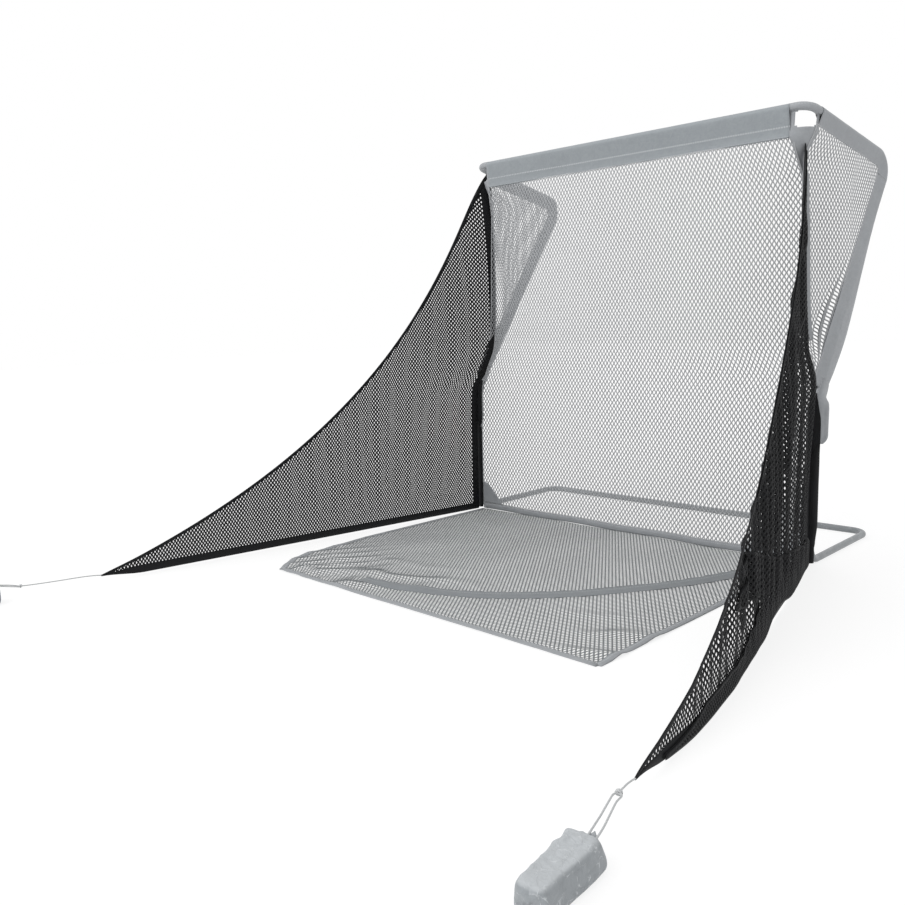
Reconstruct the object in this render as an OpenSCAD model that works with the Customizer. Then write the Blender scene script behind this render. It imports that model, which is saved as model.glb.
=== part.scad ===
// Golf practice net: a steel tube cage that carries an impact net, two side
// nets and a floor net, with two wings drawn forward by weight bags.
// Millimetres. X to the right, Y into the net, Z up. The origin lies on the
// floor, in the middle of the front base line.

/* [Cage] */
// Half the distance between the uprights, centre to centre
base_half_w = 1200; // [900:10:1500]
// Depth of the base, from the uprights to the rear bar
base_depth = 835; // [600:5:1100]
// Height of the knee, where the uprights turn into the diagonals
knee_z = 885; // [600:5:1100]
// Half the width of the crossbar's corners
top_half_w = 1135; // [900:5:1500]
// Height of the crossbar's centre line
top_z = 2385; // [2000:5:2700]
// How far the crossbar stands in front of the uprights
top_lead = 20; // [0:5:60]
// Half the width at the rear top corners
rear_half_w = 1190; // [900:5:1500]
// Depth of the rear top corners
rear_y = 960; // [700:10:1200]
// Height of the rear top corners
rear_z = 2205; // [1800:5:2500]

/* [Tube] */
// Outside diameter of the tube
tube_d = 38; // [30:1:50]
// Wall of the tube
tube_wall = 1.5; // [1:0.5:3]
// Gap between a swaged spigot and the tube over it, on the radius
spigot_gap = 0.2; // [0.1:0.1:0.5]
// Length of a spigot
spigot_len = 60; // [40:5:100]
// Straight stub between a bend and its spigot
stub_len = 40; // [20:5:80]
// Radius of the top elbows
elbow_r = 75; // [60:5:120]
// Radius of the rear top bends
rear_bend_r = 100; // [90:5:150]
// Radius of the knee bends
knee_r = 220; // [120:10:400]
// Radius of the base bends
base_r = 90; // [60:5:150]

/* [Snap buttons] */
// Diameter of a button's head
button_d = 8; // [6:0.5:10]
// How far a button stands out of the tube
button_out = 2.5; // [1.5:0.5:4]
// Clearance of a button in its holes, on the radius
button_gap = 0.3; // [0.2:0.1:0.6]

/* [Sleeves and header] */
// Inside radius of a sleeve
sleeve_r = 22.5; // [21:0.5:26]
// Thickness of the sleeve cloth
cloth = 2; // [1:0.5:3]
// Height of the header band, top edge to bottom edge
header_h = 168; // [120:2:240]
// Width of a roof or diagonal sleeve, outer edge to inner edge
sleeve_w = 100; // [90:2:140]
// Half the length of the header band
header_half_l = 1040; // [800:10:1400]

/* [Nets] */
// Width of a net opening
cell_w = 200; // [180:10:400]
// Height of a net opening
cell_h = 290; // [220:10:500]
// Width of the cords between the openings
bar_w = 14; // [8:1:20]
// Thickness of a net
net_t = 5; // [3:1:8]
// Thickness of a sewn hem
hem_t = 8; // [5:1:12]
// Height of the impact net's bottom hem
front_hem_h = 45; // [30:5:80]
// Width of the reinforcing patch in each bottom corner
patch_w = 180; // [100:10:300]
// Height of the reinforcing patch in each bottom corner
patch_h = 130; // [80:10:250]

/* [Wings] */
// Reach of the left wing along the floor
left_reach = 2650; // [2000:10:3000]
// Reach of the right wing along the floor
right_reach = 2600; // [2000:10:3000]
// How far the left wing splays outwards, in degrees
left_splay = 8.9; // [0:0.1:25]
// How far the right wing splays outwards, in degrees
right_splay = 12.5; // [0:0.1:25]
// Height of a wing at the cage
wing_h = 2290; // [1800:10:2300]
// Height of a wing's tip over the floor
tip_z = 34; // [20:2:80]
// Width of the hem on the leading edge
lead_hem_w = 26; // [15:1:40]
// Width of the hem on the bottom edge
bottom_hem_w = 45; // [30:1:60]
// Width of the hem beside the cage
inner_hem_w = 55; // [30:1:80]

/* [Floor net] */
// Length of the floor net in front of the cage
floor_l = 1895; // [1200:5:2400]
// Half the width of the floor net
floor_half_w = 1165; // [900:5:1500]
// Width of the floor net's edge hem
floor_hem_w = 40; // [20:5:60]
// Width of the band sewn across the floor net
band_w = 110; // [60:5:160]

/* [Weights and cords] */
// Diameter of the cords
cord_d = 6; // [4:0.5:8]
// Width of a weight bag
bag_w = 112; // [80:2:160]
// Length of a weight bag
bag_l = 270; // [200:5:350]
// Height of a weight bag
bag_h = 104; // [70:2:140]
// Rounding of a weight bag's edges
bag_r = 26; // [10:2:30]

/* [Hidden] */
LEFT = -1;
RIGHT = 1;
$fn = 48;
eps = 0.01;

steel = "#9a9da0";
button_steel = "#c8cacc";
grey_cloth = "#8b8f94";
grey_net = "#a3a6aa";
black_net = "#1b1d20";
pale_cord = "#c9cacb";
bag_cloth = "#b4b8ba";

tube_r = tube_d / 2;
bore_r = tube_r - tube_wall;
spigot_r = bore_r - spigot_gap;
spigot_bore_r = spigot_r - tube_wall;
// What a bend's arc loses on each side of its wall where it is drawn thin
swage = 0.03;
// Distance of a snap button from the shoulder of its spigot
button_in = spigot_len / 2;

// Corners of the tube's centre line, s is LEFT or RIGHT
function top_front(s) = [s * top_half_w, -top_lead, top_z];
function rear_top(s) = [s * rear_half_w, rear_y, rear_z];
function knee(s) = [s * base_half_w, 0, knee_z];
function base_front(s) = [s * base_half_w, 0, tube_r];
function base_rear(s) = [s * base_half_w, base_depth, tube_r];
crossbar_mid = [0, -top_lead, top_z];
rear_bar_mid = [0, base_depth, tube_r];

// ---- geometry helpers ----

function unit(v) = v / norm(v);
function side_of(across, along) = unit(across - (across * along) * along);

// Places its children with their X and Y axes along two square directions
module oriented(origin, x_dir, y_dir) {
    z_dir = cross(x_dir, y_dir);
    multmatrix([
        [x_dir.x, y_dir.x, z_dir.x, origin.x],
        [x_dir.y, y_dir.y, z_dir.y, origin.y],
        [x_dir.z, y_dir.z, z_dir.z, origin.z],
        [0, 0, 0, 1]
    ]) children();
}

// Places its children at a, with their Z axis towards b
module aimed(a, b) {
    along = unit(b - a);
    x_dir = side_of(abs(along.z) < 0.9 ? [0, 0, 1] : [0, 1, 0], along);
    oriented(a, x_dir, cross(along, x_dir)) children();
}

module rod(a, b, r) {
    aimed(a, b) cylinder(h = norm(b - a), r = r);
}

// Half the angle between the two legs of a bend
function half_angle(bend) = acos(unit(bend[1] - bend[0]) * unit(bend[2] - bend[0])) / 2;
// Distance from a bend's corner to where its arc begins
function tangent(bend) = bend[3] / tan(half_angle(bend));
// The shoulder of a bend on the leg towards one of its two neighbours
function shoulder(bend, leg) =
    bend[0] + unit(bend[leg] - bend[0]) * (tangent(bend) + stub_len);
function bend_centre(bend) =
    bend[0] + unit(unit(bend[1] - bend[0]) + unit(bend[2] - bend[0]))
        * bend[3] / sin(half_angle(bend));

// Each bend is [corner, neighbour, neighbour, radius of the centre line]
function elbow(s) = [top_front(s), crossbar_mid, rear_top(s), elbow_r];
function rear_bend(s) = [rear_top(s), top_front(s), knee(s), rear_bend_r];
function knee_bend(s) = [knee(s), rear_top(s), base_front(s), knee_r];
function base_bend(s) = [base_front(s), knee(s), base_rear(s), base_r];
function rear_base_bend(s) = [base_rear(s), base_front(s), rear_bar_mid, base_r];

// The angle that a bend turns through, and the axis that it turns about
function turn_angle(bend) = 180 - 2 * half_angle(bend);
function turn_axis(bend) = unit(cross(bend[2] - bend[0], bend[1] - bend[0]));

// Places its children in a bend's own frame: X to the arc's start, Z the axis
module in_bend(bend) {
    start = bend[0] + unit(bend[1] - bend[0]) * tangent(bend);
    x_dir = unit(start - bend_centre(bend));
    oriented(bend_centre(bend), x_dir, cross(turn_axis(bend), x_dir)) children();
}

// In a bend's frame: sweeps a 2D profile round the arc, its -X side inside,
// and on for a few degrees past each end
module arc_sweep(bend, past = 0) {
    rotate([0, 0, -past]) rotate_extrude(angle = turn_angle(bend) + 2 * past)
        translate([bend[3], 0]) children();
}

// In a bend's frame: runs a 2D profile straight on from the arc's end at a leg
module leg_sweep(bend, leg, reach) {
    rotate([0, 0, leg == 1 ? 0 : turn_angle(bend)])
        translate([bend[3], leg == 1 ? 0 : reach, 0])
            rotate([90, 0, 0]) linear_extrude(reach) children();
}

// In a bend's frame: places its children on a leg, with Z running outwards
module on_leg(bend, leg) {
    rotate([0, 0, leg == 1 ? 0 : turn_angle(bend)])
        translate([bend[3], 0, 0]) rotate([leg == 1 ? 90 : -90, 0, 0]) children();
}

// ---- steel tube ----

// A straight tube with holes for buttons at [distance from a, direction]
module straight_tube(a, b, holes = []) {
    color(steel) difference() {
        rod(a, b, tube_r);
        rod(a - unit(b - a), b + unit(b - a), bore_r);
        for (hole = holes) {
            at = a + unit(b - a) * hole[0];
            rod(at, at + hole[1] * tube_d, button_d / 2 + button_gap);
        }
    }
}

// A bend with a swaged spigot on each leg, and perhaps a button hole in the
// second one, towards the turn axis or (-1) away from it
module bent_tube(bend, hole = 0) {
    color(steel) in_bend(bend) {
        arc_sweep(bend, 6 / bend[3]) difference() {
            circle(tube_r - swage);
            circle(spigot_bore_r + swage);
        }
        on_leg(bend, 1) swaged_leg();
        on_leg(bend, 2) difference() {
            swaged_leg();
            if (hole != 0)
                translate([0, 0, stub_len + button_in]) rotate([hole * 90, 0, 0])
                    cylinder(h = tube_d, r = button_d / 2 + button_gap);
        }
    }
}

// A bend's straight leg: the full tube, then the narrower spigot
module swaged_leg() {
    end = stub_len + spigot_len;
    rotate_extrude() polygon([[spigot_bore_r, 0], [tube_r, 0], [tube_r, stub_len],
        [spigot_r, stub_len], [spigot_r, end], [spigot_bore_r, end]]);
}

// The joiner inside the two halves of a bar, with a button hole each side
module joiner(mid, holes = []) {
    color(steel) difference() {
        rod(mid - [spigot_len, 0, 0], mid + [spigot_len, 0, 0], spigot_r);
        rod(mid - [spigot_len + 1, 0, 0], mid + [spigot_len + 1, 0, 0], spigot_bore_r);
        for (hole = holes)
            rod(hole[0], hole[0] + hole[1] * tube_d, button_d / 2 + button_gap);
    }
}

// Where each snap button sits, and which way it points
function crossbar_button_at(s) = crossbar_mid + [s * button_in, 0, 0];
crossbar_button_dir = [0, 0, -1];
function roof_button_at(s) =
    shoulder(elbow(s), 2) + unit(rear_top(s) - top_front(s)) * button_in;
function roof_button_dir(s) = turn_axis(elbow(s)) * -sign(turn_axis(elbow(s)).z);
function upright_button_at(s) = shoulder(knee_bend(s), 2) + [0, 0, -button_in];
function upright_button_dir(s) = turn_axis(knee_bend(s)) * -s * sign(turn_axis(knee_bend(s)).x);

module crossbar(s) {
    straight_tube(crossbar_mid, shoulder(elbow(s), 1), [[button_in, crossbar_button_dir]]);
}
module crossbar_joiner() {
    joiner(crossbar_mid, [for (s = [LEFT, RIGHT]) [crossbar_button_at(s), crossbar_button_dir]]);
}
module top_elbow(s) {
    bent_tube(elbow(s), -sign(turn_axis(elbow(s)).z));
}
module roof_tube(s) {
    straight_tube(shoulder(elbow(s), 2), shoulder(rear_bend(s), 1),
        [[button_in, roof_button_dir(s)]]);
}
module diagonal_tube(s) {
    straight_tube(shoulder(rear_bend(s), 2), shoulder(knee_bend(s), 1));
}
module knee_tube(s) {
    bent_tube(knee_bend(s), -s * sign(turn_axis(knee_bend(s)).x));
}
module upright(s) {
    straight_tube(shoulder(knee_bend(s), 2), shoulder(base_bend(s), 1),
        [[button_in, upright_button_dir(s)]]);
}
module base_tube(s) {
    straight_tube(shoulder(base_bend(s), 2), shoulder(rear_base_bend(s), 1));
}
module rear_bar(s) {
    straight_tube(rear_bar_mid, shoulder(rear_base_bend(s), 2));
}

// A snap button: domed head, flange inside the spigot and a leaf behind it
module snap_button(at, dir, along) {
    flange_t = 1.2;
    flange_top = sqrt(pow(spigot_bore_r, 2) - pow(button_d / 2 + 2, 2)) - 0.2;
    leaf_t = 0.8;
    leaf_l = 34;
    dome = 1;
    color(button_steel) oriented(at, along, cross(dir, along)) {
        translate([0, 0, flange_top - flange_t]) {
            cylinder(h = flange_t, r = button_d / 2 + 2);
            cylinder(h = tube_r + button_out - dome - flange_top + flange_t, r = button_d / 2);
        }
        translate([0, 0, tube_r + button_out - dome - eps])
            cylinder(h = dome, r1 = button_d / 2, r2 = button_d / 2 - dome);
        translate([-button_d / 2 - 2, -button_d / 2, flange_top - flange_t - leaf_t])
            cube([leaf_l, button_d, leaf_t + eps]);
    }
}
module crossbar_button(s) {
    snap_button(crossbar_button_at(s), crossbar_button_dir, [s, 0, 0]);
}
module roof_button(s) {
    snap_button(roof_button_at(s), roof_button_dir(s), unit(rear_top(s) - top_front(s)));
}
module upright_button(s) {
    snap_button(upright_button_at(s), upright_button_dir(s), [0, 0, -1]);
}

// ---- header and sleeves ----

sleeve_out_r = sleeve_r + cloth;
// How far a sleeve hangs below its tube, so that it rests on the top of it
hang = sleeve_r - tube_r - 0.2;
seam_at = 62;

// A sleeve round a tube at the origin; it closes and runs on along -X to -w
module sleeve_profile(w) {
    shoulder_x = -8;
    shoulder_y = sqrt(pow(sleeve_out_r, 2) - pow(shoulder_x, 2));
    inner_y = sqrt(pow(sleeve_r, 2) - pow(shoulder_x, 2));
    difference() {
        union() {
            circle(sleeve_out_r);
            polygon([[shoulder_x, shoulder_y], [-seam_at, cloth / 2 + 0.5],
                [-seam_at, -cloth / 2 - 0.5], [shoulder_x, -shoulder_y]]);
            translate([-w, -cloth / 2 - 0.5]) square([w - seam_at + 1, cloth + 1]);
        }
        circle(sleeve_r);
        polygon([[shoulder_x, inner_y], [-seam_at + 6, 0], [shoulder_x, -inner_y]]);
    }
}

// A straight sleeve from a to b that closes towards the direction inside
module straight_sleeve(a, b, inside, w) {
    along = unit(b - a);
    x_dir = -side_of(inside, along);
    oriented(a, x_dir, cross(along, x_dir))
        linear_extrude(norm(b - a)) sleeve_profile(w);
}

header_y = -top_lead;
header_centre_z = top_z - hang;
header_bottom_z = header_centre_z + sleeve_out_r - header_h;
module header_band() {
    color(grey_cloth)
        straight_sleeve([-header_half_l, header_y, header_centre_z],
            [header_half_l, header_y, header_centre_z], [0, 0, -1], header_h - sleeve_out_r);
}

// The side sleeves sit centred on their tubes
function roof_len(s) = norm(shoulder(elbow(s), 2) - rear_top(s)) - tangent(rear_bend(s));
function diagonal_start(s) = rear_top(s)
    + unit(knee(s) - rear_top(s)) * tangent(rear_bend(s));
function diagonal_end(s) = knee(s)
    + unit(rear_top(s) - knee(s)) * tangent(knee_bend(s));

module roof_sleeve(s) {
    bend = rear_bend(s);
    color(grey_cloth) in_bend(bend) {
        arc_sweep(bend) sleeve_profile(sleeve_w - sleeve_out_r);
        leg_sweep(bend, 1, roof_len(s)) sleeve_profile(sleeve_w - sleeve_out_r);
    }
}
// Below its seam the diagonal sleeve narrows to a cuff that goes round the knee
module diagonal_sleeve(s) {
    bend = knee_bend(s);
    cuff_r = tube_r + cover_gap;
    color(grey_cloth) {
        straight_sleeve(diagonal_start(s), diagonal_end(s), top_front(s) - rear_top(s),
            sleeve_w - sleeve_out_r);
        in_bend(bend) {
            on_leg(bend, 1) translate([0, 0, 0.5]) difference() {
                cylinder(h = cloth, r = sleeve_r + cloth / 2);
                translate([0, 0, -1]) cylinder(h = cloth + 2, r = cuff_r + 0.6);
            }
            arc_sweep(bend, 0.3) difference() {
                circle(cuff_r + cloth);
                circle(cuff_r + swage);
            }
        }
    }
}

// The cover on the elbow, and below it the gusset that follows the elbow's
// curve down to a point, with a window cut out of it
cover_gap = 0.4;
flap_l = 345;
flap_half_w = 48;
window_half_w = 30;
window_drop = 9;
window_h = 72;
module corner_cover(s) {
    bend = elbow(s);
    down = -sign(turn_axis(bend).z);
    cover_r = tube_r + cover_gap;
    window_z = cover_r + window_drop + window_h / 2;
    color(grey_cloth) in_bend(bend) {
        arc_sweep(bend) difference() {
            circle(cover_r + cloth);
            circle(cover_r);
        }
        intersection() {
            arc_sweep(bend) translate([-cloth / 2 - 0.5, down > 0 ? cover_r + 1 : -flap_l])
                square([cloth + 1, flap_l - cover_r - 1]);
            rotate([0, 0, turn_angle(bend) / 2]) rotate([90, 0, 90])
                linear_extrude(2 * elbow_r) difference() {
                    polygon([[-flap_half_w, 0], [flap_half_w, 0],
                        [12, down * (flap_l + 1)], [-12, down * (flap_l + 1)]]);
                    translate([0, down * window_z])
                        square([2 * window_half_w, window_h], center = true);
                }
        }
    }
}

// ---- nets ----

// The four corners of a net opening whose centre is c
function opening(c) = [
    c + [cell_w / 2 - bar_w * 0.7, 0], c + [0, cell_h / 2 - bar_w],
    c - [cell_w / 2 - bar_w * 0.7, 0], c - [0, cell_h / 2 - bar_w]
];
// Signed distance of p inside the edge from a to b of an outline that turns left
function inside_by(p, a, b) = cross(unit(b - a), p - a);
function least_inside(p, outline) =
    min([for (i = [0:len(outline) - 1])
        inside_by(p, outline[i], outline[(i + 1) % len(outline)])]);
function all_inside(points, outline, margin) =
    min([for (p = points) least_inside(p, outline)]) >= margin;

// Centres of a staggered grid of openings between two corners
function grid(low, high) = [
    for (row = [0:floor((high.y - low.y) / cell_h * 2)])
        for (col = [0:floor((high.x - low.x) / cell_w)])
            low + [(col + (row % 2) / 2) * cell_w, row * cell_h / 2]
];

// A flat plate with one outline and a list of four-cornered openings
module pierced_plate(outline, openings, t) {
    n = len(outline);
    linear_extrude(t)
        polygon(concat(outline, [for (o = openings) each o]),
            paths = concat([[for (i = [0:n - 1]) i]],
                [for (k = [0:len(openings) - 1]) [for (i = [0:3]) n + 4 * k + i]]));
}

// A net over a convex outline, given counter-clockwise
module net(outline, t = net_t) {
    low = [min([for (p = outline) p.x]), min([for (p = outline) p.y])];
    high = [max([for (p = outline) p.x]), max([for (p = outline) p.y])];
    centres = grid(low + [cell_w / 4, cell_h / 4], high);
    openings = [for (c = centres) if (all_inside(opening(c), outline, bar_w)) opening(c)];
    pierced_plate(outline, openings, t);
}

// The impact net hangs from the header to its bottom hem, clear of the straps
net_edge_x = base_half_w - tube_r - 4.5;
net_edge_top_x = top_half_w - 65;
net_low_z = net_t + front_hem_h + 0.2;
net_rise = header_bottom_z - net_low_z - 0.2;
net_back = [0, net_t / 2, net_low_z];
net_up = unit([0, header_y, net_rise]);
module main_net() {
    color(grey_net) oriented(net_back, [1, 0, 0], net_up)
        net([[-net_edge_x, 0], [net_edge_x, 0], [net_edge_x, knee_z - net_low_z],
            [net_edge_top_x, net_rise], [-net_edge_top_x, net_rise],
            [-net_edge_x, knee_z - net_low_z]]);
}
module front_hem() {
    color(grey_cloth) translate([-net_edge_x, -hem_t / 2, net_t + 0.1])
        cube([2 * net_edge_x, hem_t, front_hem_h]);
}
// The patches lie on the front of the impact net
module base_patch(s) {
    color(grey_cloth) oriented(net_back, [1, 0, 0], net_up)
        translate([s * net_edge_x, 0, net_t + 0.1]) linear_extrude(3)
            polygon([[0, 0], [-s * patch_w, 0], [-s * patch_w * 0.85, 30],
                [-s * patch_w * 0.3, patch_h], [0, patch_h * 1.15]]);
}

// The side nets lie in the plane of the roof tube and the diagonal tube
function on_side(s, p, e1, e2) = [(p - knee(s)) * e1, (p - knee(s)) * e2];
// Where the line through p along u meets the line through q along v
function meet(p, u, q, v) = p + u * cross(q - p, v) / cross(u, v);
function left_of(a, b) = let (d = unit(b - a)) [-d.y, d.x];
side_inset = sleeve_w - sleeve_out_r + 0.3;
front_inset = 20;
module side_net(s) {
    normal = unit(cross(rear_top(s) - knee(s), top_front(s) - knee(s)));
    e1 = unit([-normal.y, normal.x, 0]);
    e2 = cross(normal, e1);
    k = on_side(s, knee(s), e1, e2);
    r = on_side(s, rear_top(s), e1, e2);
    f = on_side(s, top_front(s), e1, e2);
    front = f + front_inset * left_of(f, k);
    turn_in = tangent(rear_bend(s));
    outline = [
        meet(front, k - f, k + side_inset * left_of(k, r), r - k),
        r + turn_in * unit(k - r) + side_inset * left_of(k, r),
        r + turn_in * unit(f - r) + side_inset * left_of(r, f),
        meet(front, k - f, r + side_inset * left_of(r, f), f - r)
    ];
    color(grey_net) oriented(knee(s) - normal * net_t / 2, e1, e2) net(outline);
}

// The floor net lies flat, inside a hem on three sides
floor_front_y = -floor_l;
corner_cut = 150;
function floor_outline(inset) = let (x = floor_half_w - inset, y = floor_front_y + inset)
    [[-x + corner_cut, y], [x, y], [x, hem_t], [-x, hem_t], [-x, y + 1.4 * corner_cut]];
module floor_net() {
    color(grey_net) net(floor_outline(floor_hem_w + 0.1));
}
module floor_hem() {
    outer = floor_outline(0);
    inner = floor_outline(floor_hem_w);
    color(grey_cloth) linear_extrude(net_t) difference() {
        polygon(outer);
        polygon([inner[0], inner[1], inner[2] + [0, 1], inner[3] + [0, 1], inner[4]]);
    }
}

// The band across the floor net curves from its front edge to the right corner
band_start = [-480, -1730];
band_turn = [620, -1640];
band_end = [1080, -140];
function curve(a, b, c, t) = pow(1 - t, 2) * a + 2 * t * (1 - t) * b + t * t * c;
function curve_side(a, b, c, t) =
    let (d = unit((1 - t) * (b - a) + t * (c - b))) [-d.y, d.x];
module floor_band() {
    steps = 14;
    function edge(w) = [for (i = [0:steps]) curve(band_start, band_turn, band_end, i / steps)
        + w * curve_side(band_start, band_turn, band_end, i / steps)];
    left_edge = edge(band_w / 2);
    color(grey_cloth) translate([0, 0, net_t + 0.1]) linear_extrude(3)
        polygon(concat(edge(-band_w / 2), [for (i = [steps:-1:0]) left_edge[i]]));
}

// ---- wings ----

function reach(s) = s < 0 ? left_reach : right_reach;
function splay(s) = s < 0 ? left_splay : right_splay;
function wing_dir(s) = [s * sin(splay(s)), -cos(splay(s)), 0];
wing_start_y = -tube_r - 7;
wing_low_z = 8;
function wing_foot(s) = [s * base_half_w, wing_start_y, wing_low_z];
function wing_tip(s) = wing_foot(s) + wing_dir(s) * reach(s) + [0, 0, tip_z - wing_low_z];
// The wing leans inwards, up to the narrower top of the cage
wing_lean = 57;
function wing_up(s) = side_of(unit([-s * wing_lean, 0, wing_h]), wing_dir(s));

// Leading edge of a wing as [distance from the cage, height], drawn in by tension
lead_turn = [0.255, 0.29];
function lead_edge(s, t) = curve([0, wing_h], [reach(s) * lead_turn.x, wing_h * lead_turn.y],
    [reach(s), tip_z - wing_low_z], t);
lead_steps = 12;
function wing_outline(s) = concat([[0, 0], [reach(s) - 30, 0]],
    [for (i = [lead_steps:-1:0]) lead_edge(s, i / lead_steps)]);

// The inside edge of the hem: the leading edge moved inwards, then the corners
function lead_inner(s, t) = lead_edge(s, t)
    + lead_hem_w * curve_side([0, wing_h],
        [reach(s) * lead_turn.x, wing_h * lead_turn.y], [reach(s), tip_z - wing_low_z], t) * -1;
function wing_inner(s) = concat([[inner_hem_w, bottom_hem_w]],
    [for (i = [lead_steps:-1:0]) let (p = lead_inner(s, i / lead_steps))
        if (p.y > bottom_hem_w + 6 && p.x > inner_hem_w + 4) p]);

module wing_plate(s, t) {
    normal = cross(wing_dir(s), wing_up(s));
    oriented(wing_foot(s) - normal * t / 2, wing_dir(s), wing_up(s)) children();
}
// Whether a point is clear of the hem, seen along the leading edge
function lead_height(s, x) =
    lookup(x, [for (i = [0:lead_steps]) lead_inner(s, i / lead_steps)]);
function in_wing(s, c) = min([for (p = opening(c))
    min(p.x - inner_hem_w, p.y - bottom_hem_w, lead_height(s, p.x) - p.y)]) >= bar_w;
module wing_net(s) {
    low = [inner_hem_w + bar_w * 2 + cell_w / 2, bottom_hem_w + bar_w * 2 + cell_h / 2];
    openings = [for (c = grid(low, [reach(s), wing_h])) if (in_wing(s, c)) opening(c)];
    color(black_net) wing_plate(s, net_t) pierced_plate(wing_inner(s), openings, net_t);
}
module wing_hem(s) {
    color(black_net) wing_plate(s, hem_t) linear_extrude(hem_t) difference() {
        polygon(wing_outline(s));
        polygon(wing_inner(s));
    }
}

// The strap wound round the upright, from the base bend to just below the snap
// button, and sewn to the wing's inner hem along its whole height
strap_gap = 0.4;
strap_t = 2;
strap_low = tube_r + base_r + 6;
strap_high = 712;
module wing_straps(s) {
    strap_out_r = tube_r + strap_gap + strap_t;
    tab_start = wing_start_y + 0.9;
    color(black_net) translate([s * base_half_w, 0, 0]) difference() {
        union() {
            translate([0, 0, strap_low]) cylinder(h = strap_high - strap_low, r = strap_out_r);
            hull() for (z = [strap_low, strap_high - 1])
                translate([-s * wing_lean * z / wing_h - strap_t, tab_start, z])
                    cube([2 * strap_t, -8 - tab_start, 1]);
        }
        translate([0, 0, strap_low - 1])
            cylinder(h = strap_high - strap_low + 2, r = tube_r + strap_gap);
    }
}

// ---- cords and weights ----

// Points of each cord's centre line
wing_cord_route = [
    [[-1610.1, -2645, 36], [-1614, -2670, 40], [-1621, -2720, 45], [-1629, -2780, 48],
        [-1637, -2840, 50], [-1646, -2900, 52], [-1654, -2960, 55], [-1661, -3010, 58],
        [-1666, -3047, 61]],
    [[1762.9, -2565.3, 36], [1766, -2585, 40], [1772, -2610, 46], [1778, -2635, 51],
        [1785, -2660, 55], [1791, -2685, 59], [1795, -2697, 61]]
];
drawcord_route = [
    [[-1700, -3179, 91], [-1697, -3160, 87], [-1691, -3130, 81], [-1684, -3100, 75],
        [-1679, -3080, 70], [-1675, -3066, 66], [-1667, -3055, 63], [-1657, -3054, 62],
        [-1651, -3062, 63], [-1653, -3076, 67], [-1659, -3100, 72], [-1668, -3130, 79],
        [-1679, -3160, 86], [-1684, -3179, 91]],
    [[1880, -2961, 91], [1874, -2942, 89], [1859, -2900, 84], [1841, -2850, 78],
        [1822, -2800, 73], [1803, -2750, 68], [1793, -2724, 64], [1792, -2712, 63],
        [1799, -2704, 62], [1809, -2705, 62], [1815, -2716, 63], [1824, -2750, 68],
        [1842, -2800, 74], [1860, -2850, 80], [1878, -2900, 85], [1891, -2942, 89],
        [1896, -2961, 91]]
];
function which(s) = s < 0 ? 0 : 1;

// A smooth line through the points, n steps between each pair
function smooth(p, n) = [
    for (i = [0:len(p) - 2]) for (j = [0:n - 1])
        let (a = p[max(i - 1, 0)], b = p[i], c = p[i + 1], d = p[min(i + 2, len(p) - 1)],
            t = j / n)
        0.5 * (2 * b + (c - a) * t + (2 * a - 5 * b + 4 * c - d) * t * t
            + (3 * b - a - 3 * c + d) * t * t * t),
    p[len(p) - 1]
];
function heading(line, i) = unit(line[min(i + 1, len(line) - 1)] - line[max(i - 1, 0)]);

// A round tube swept along a line as one closed solid
module cord_tube(line, d, sides = 8) {
    rings = len(line);
    points = [for (i = [0:rings - 1])
        let (along = heading(line, i), u = side_of([0, 0, 1], along), v = cross(along, u))
        for (k = [0:sides - 1])
            line[i] + d / 2 * (cos(360 * k / sides) * u + sin(360 * k / sides) * v)];
    skin = [for (i = [0:rings - 2]) for (k = [0:sides - 1])
        let (a = i * sides + k, b = i * sides + (k + 1) % sides)
        each [[a, a + sides, b], [b, a + sides, b + sides]]];
    first = [for (k = [1:sides - 2]) [0, k, k + 1]];
    base = (rings - 1) * sides;
    last = [for (k = [1:sides - 2]) [base, base + k + 1, base + k]];
    polyhedron(points, concat(skin, first, last));
}
module wing_cord(s) {
    color(pale_cord) cord_tube(smooth(wing_cord_route[which(s)], s < 0 ? 3 : 2), cord_d);
}
module drawcord(s) {
    color(pale_cord) cord_tube(smooth(drawcord_route[which(s)], 2), cord_d);
}

// The knot where the wing cord is tied round the drawcord
function knot_at(s) = let (line = wing_cord_route[which(s)]) line[len(line) - 1];
module cord_knot(s) {
    at = knot_at(s);
    color(pale_cord) translate(at) {
        sphere(cord_d * 0.95);
        rotate([90, 0, -s * splay(s)]) rotate_extrude() translate([cord_d * 0.9, 0]) circle(cord_d / 2);
        rotate([70, 50, 0]) rotate_extrude() translate([cord_d * 0.8, 0]) circle(cord_d / 2);
    }
}

// A box-like bag, flat underneath, gathered to a neck where the drawcord leaves
neck_r = 15;
function bag_neck(s) = let (line = drawcord_route[which(s)])
    (line[0] + line[len(line) - 1]) / 2;
neck_drop = 2;
neck_sunk = 30;
bag_gap = 6;
bag_facets = 20;
module weight_bag(s) {
    foot = bag_r * cos(180 / bag_facets);
    color(bag_cloth) translate([bag_neck(s).x, bag_neck(s).y - bag_gap - bag_l / 2, 0]) {
        hull() for (x = [-1, 1], y = [-1, 1], z = [foot, bag_h - foot])
            translate([x * (bag_w / 2 - bag_r), y * (bag_l / 2 - bag_r), z])
                sphere(bag_r, $fn = bag_facets);
        translate([0, bag_l / 2 - neck_sunk, bag_neck(s).z - neck_drop]) rotate([-90, 0, 0])
            cylinder(h = neck_sunk + bag_gap - 0.3, r1 = neck_r * 1.3, r2 = neck_r);
    }
}

// ---- parts ----

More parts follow.
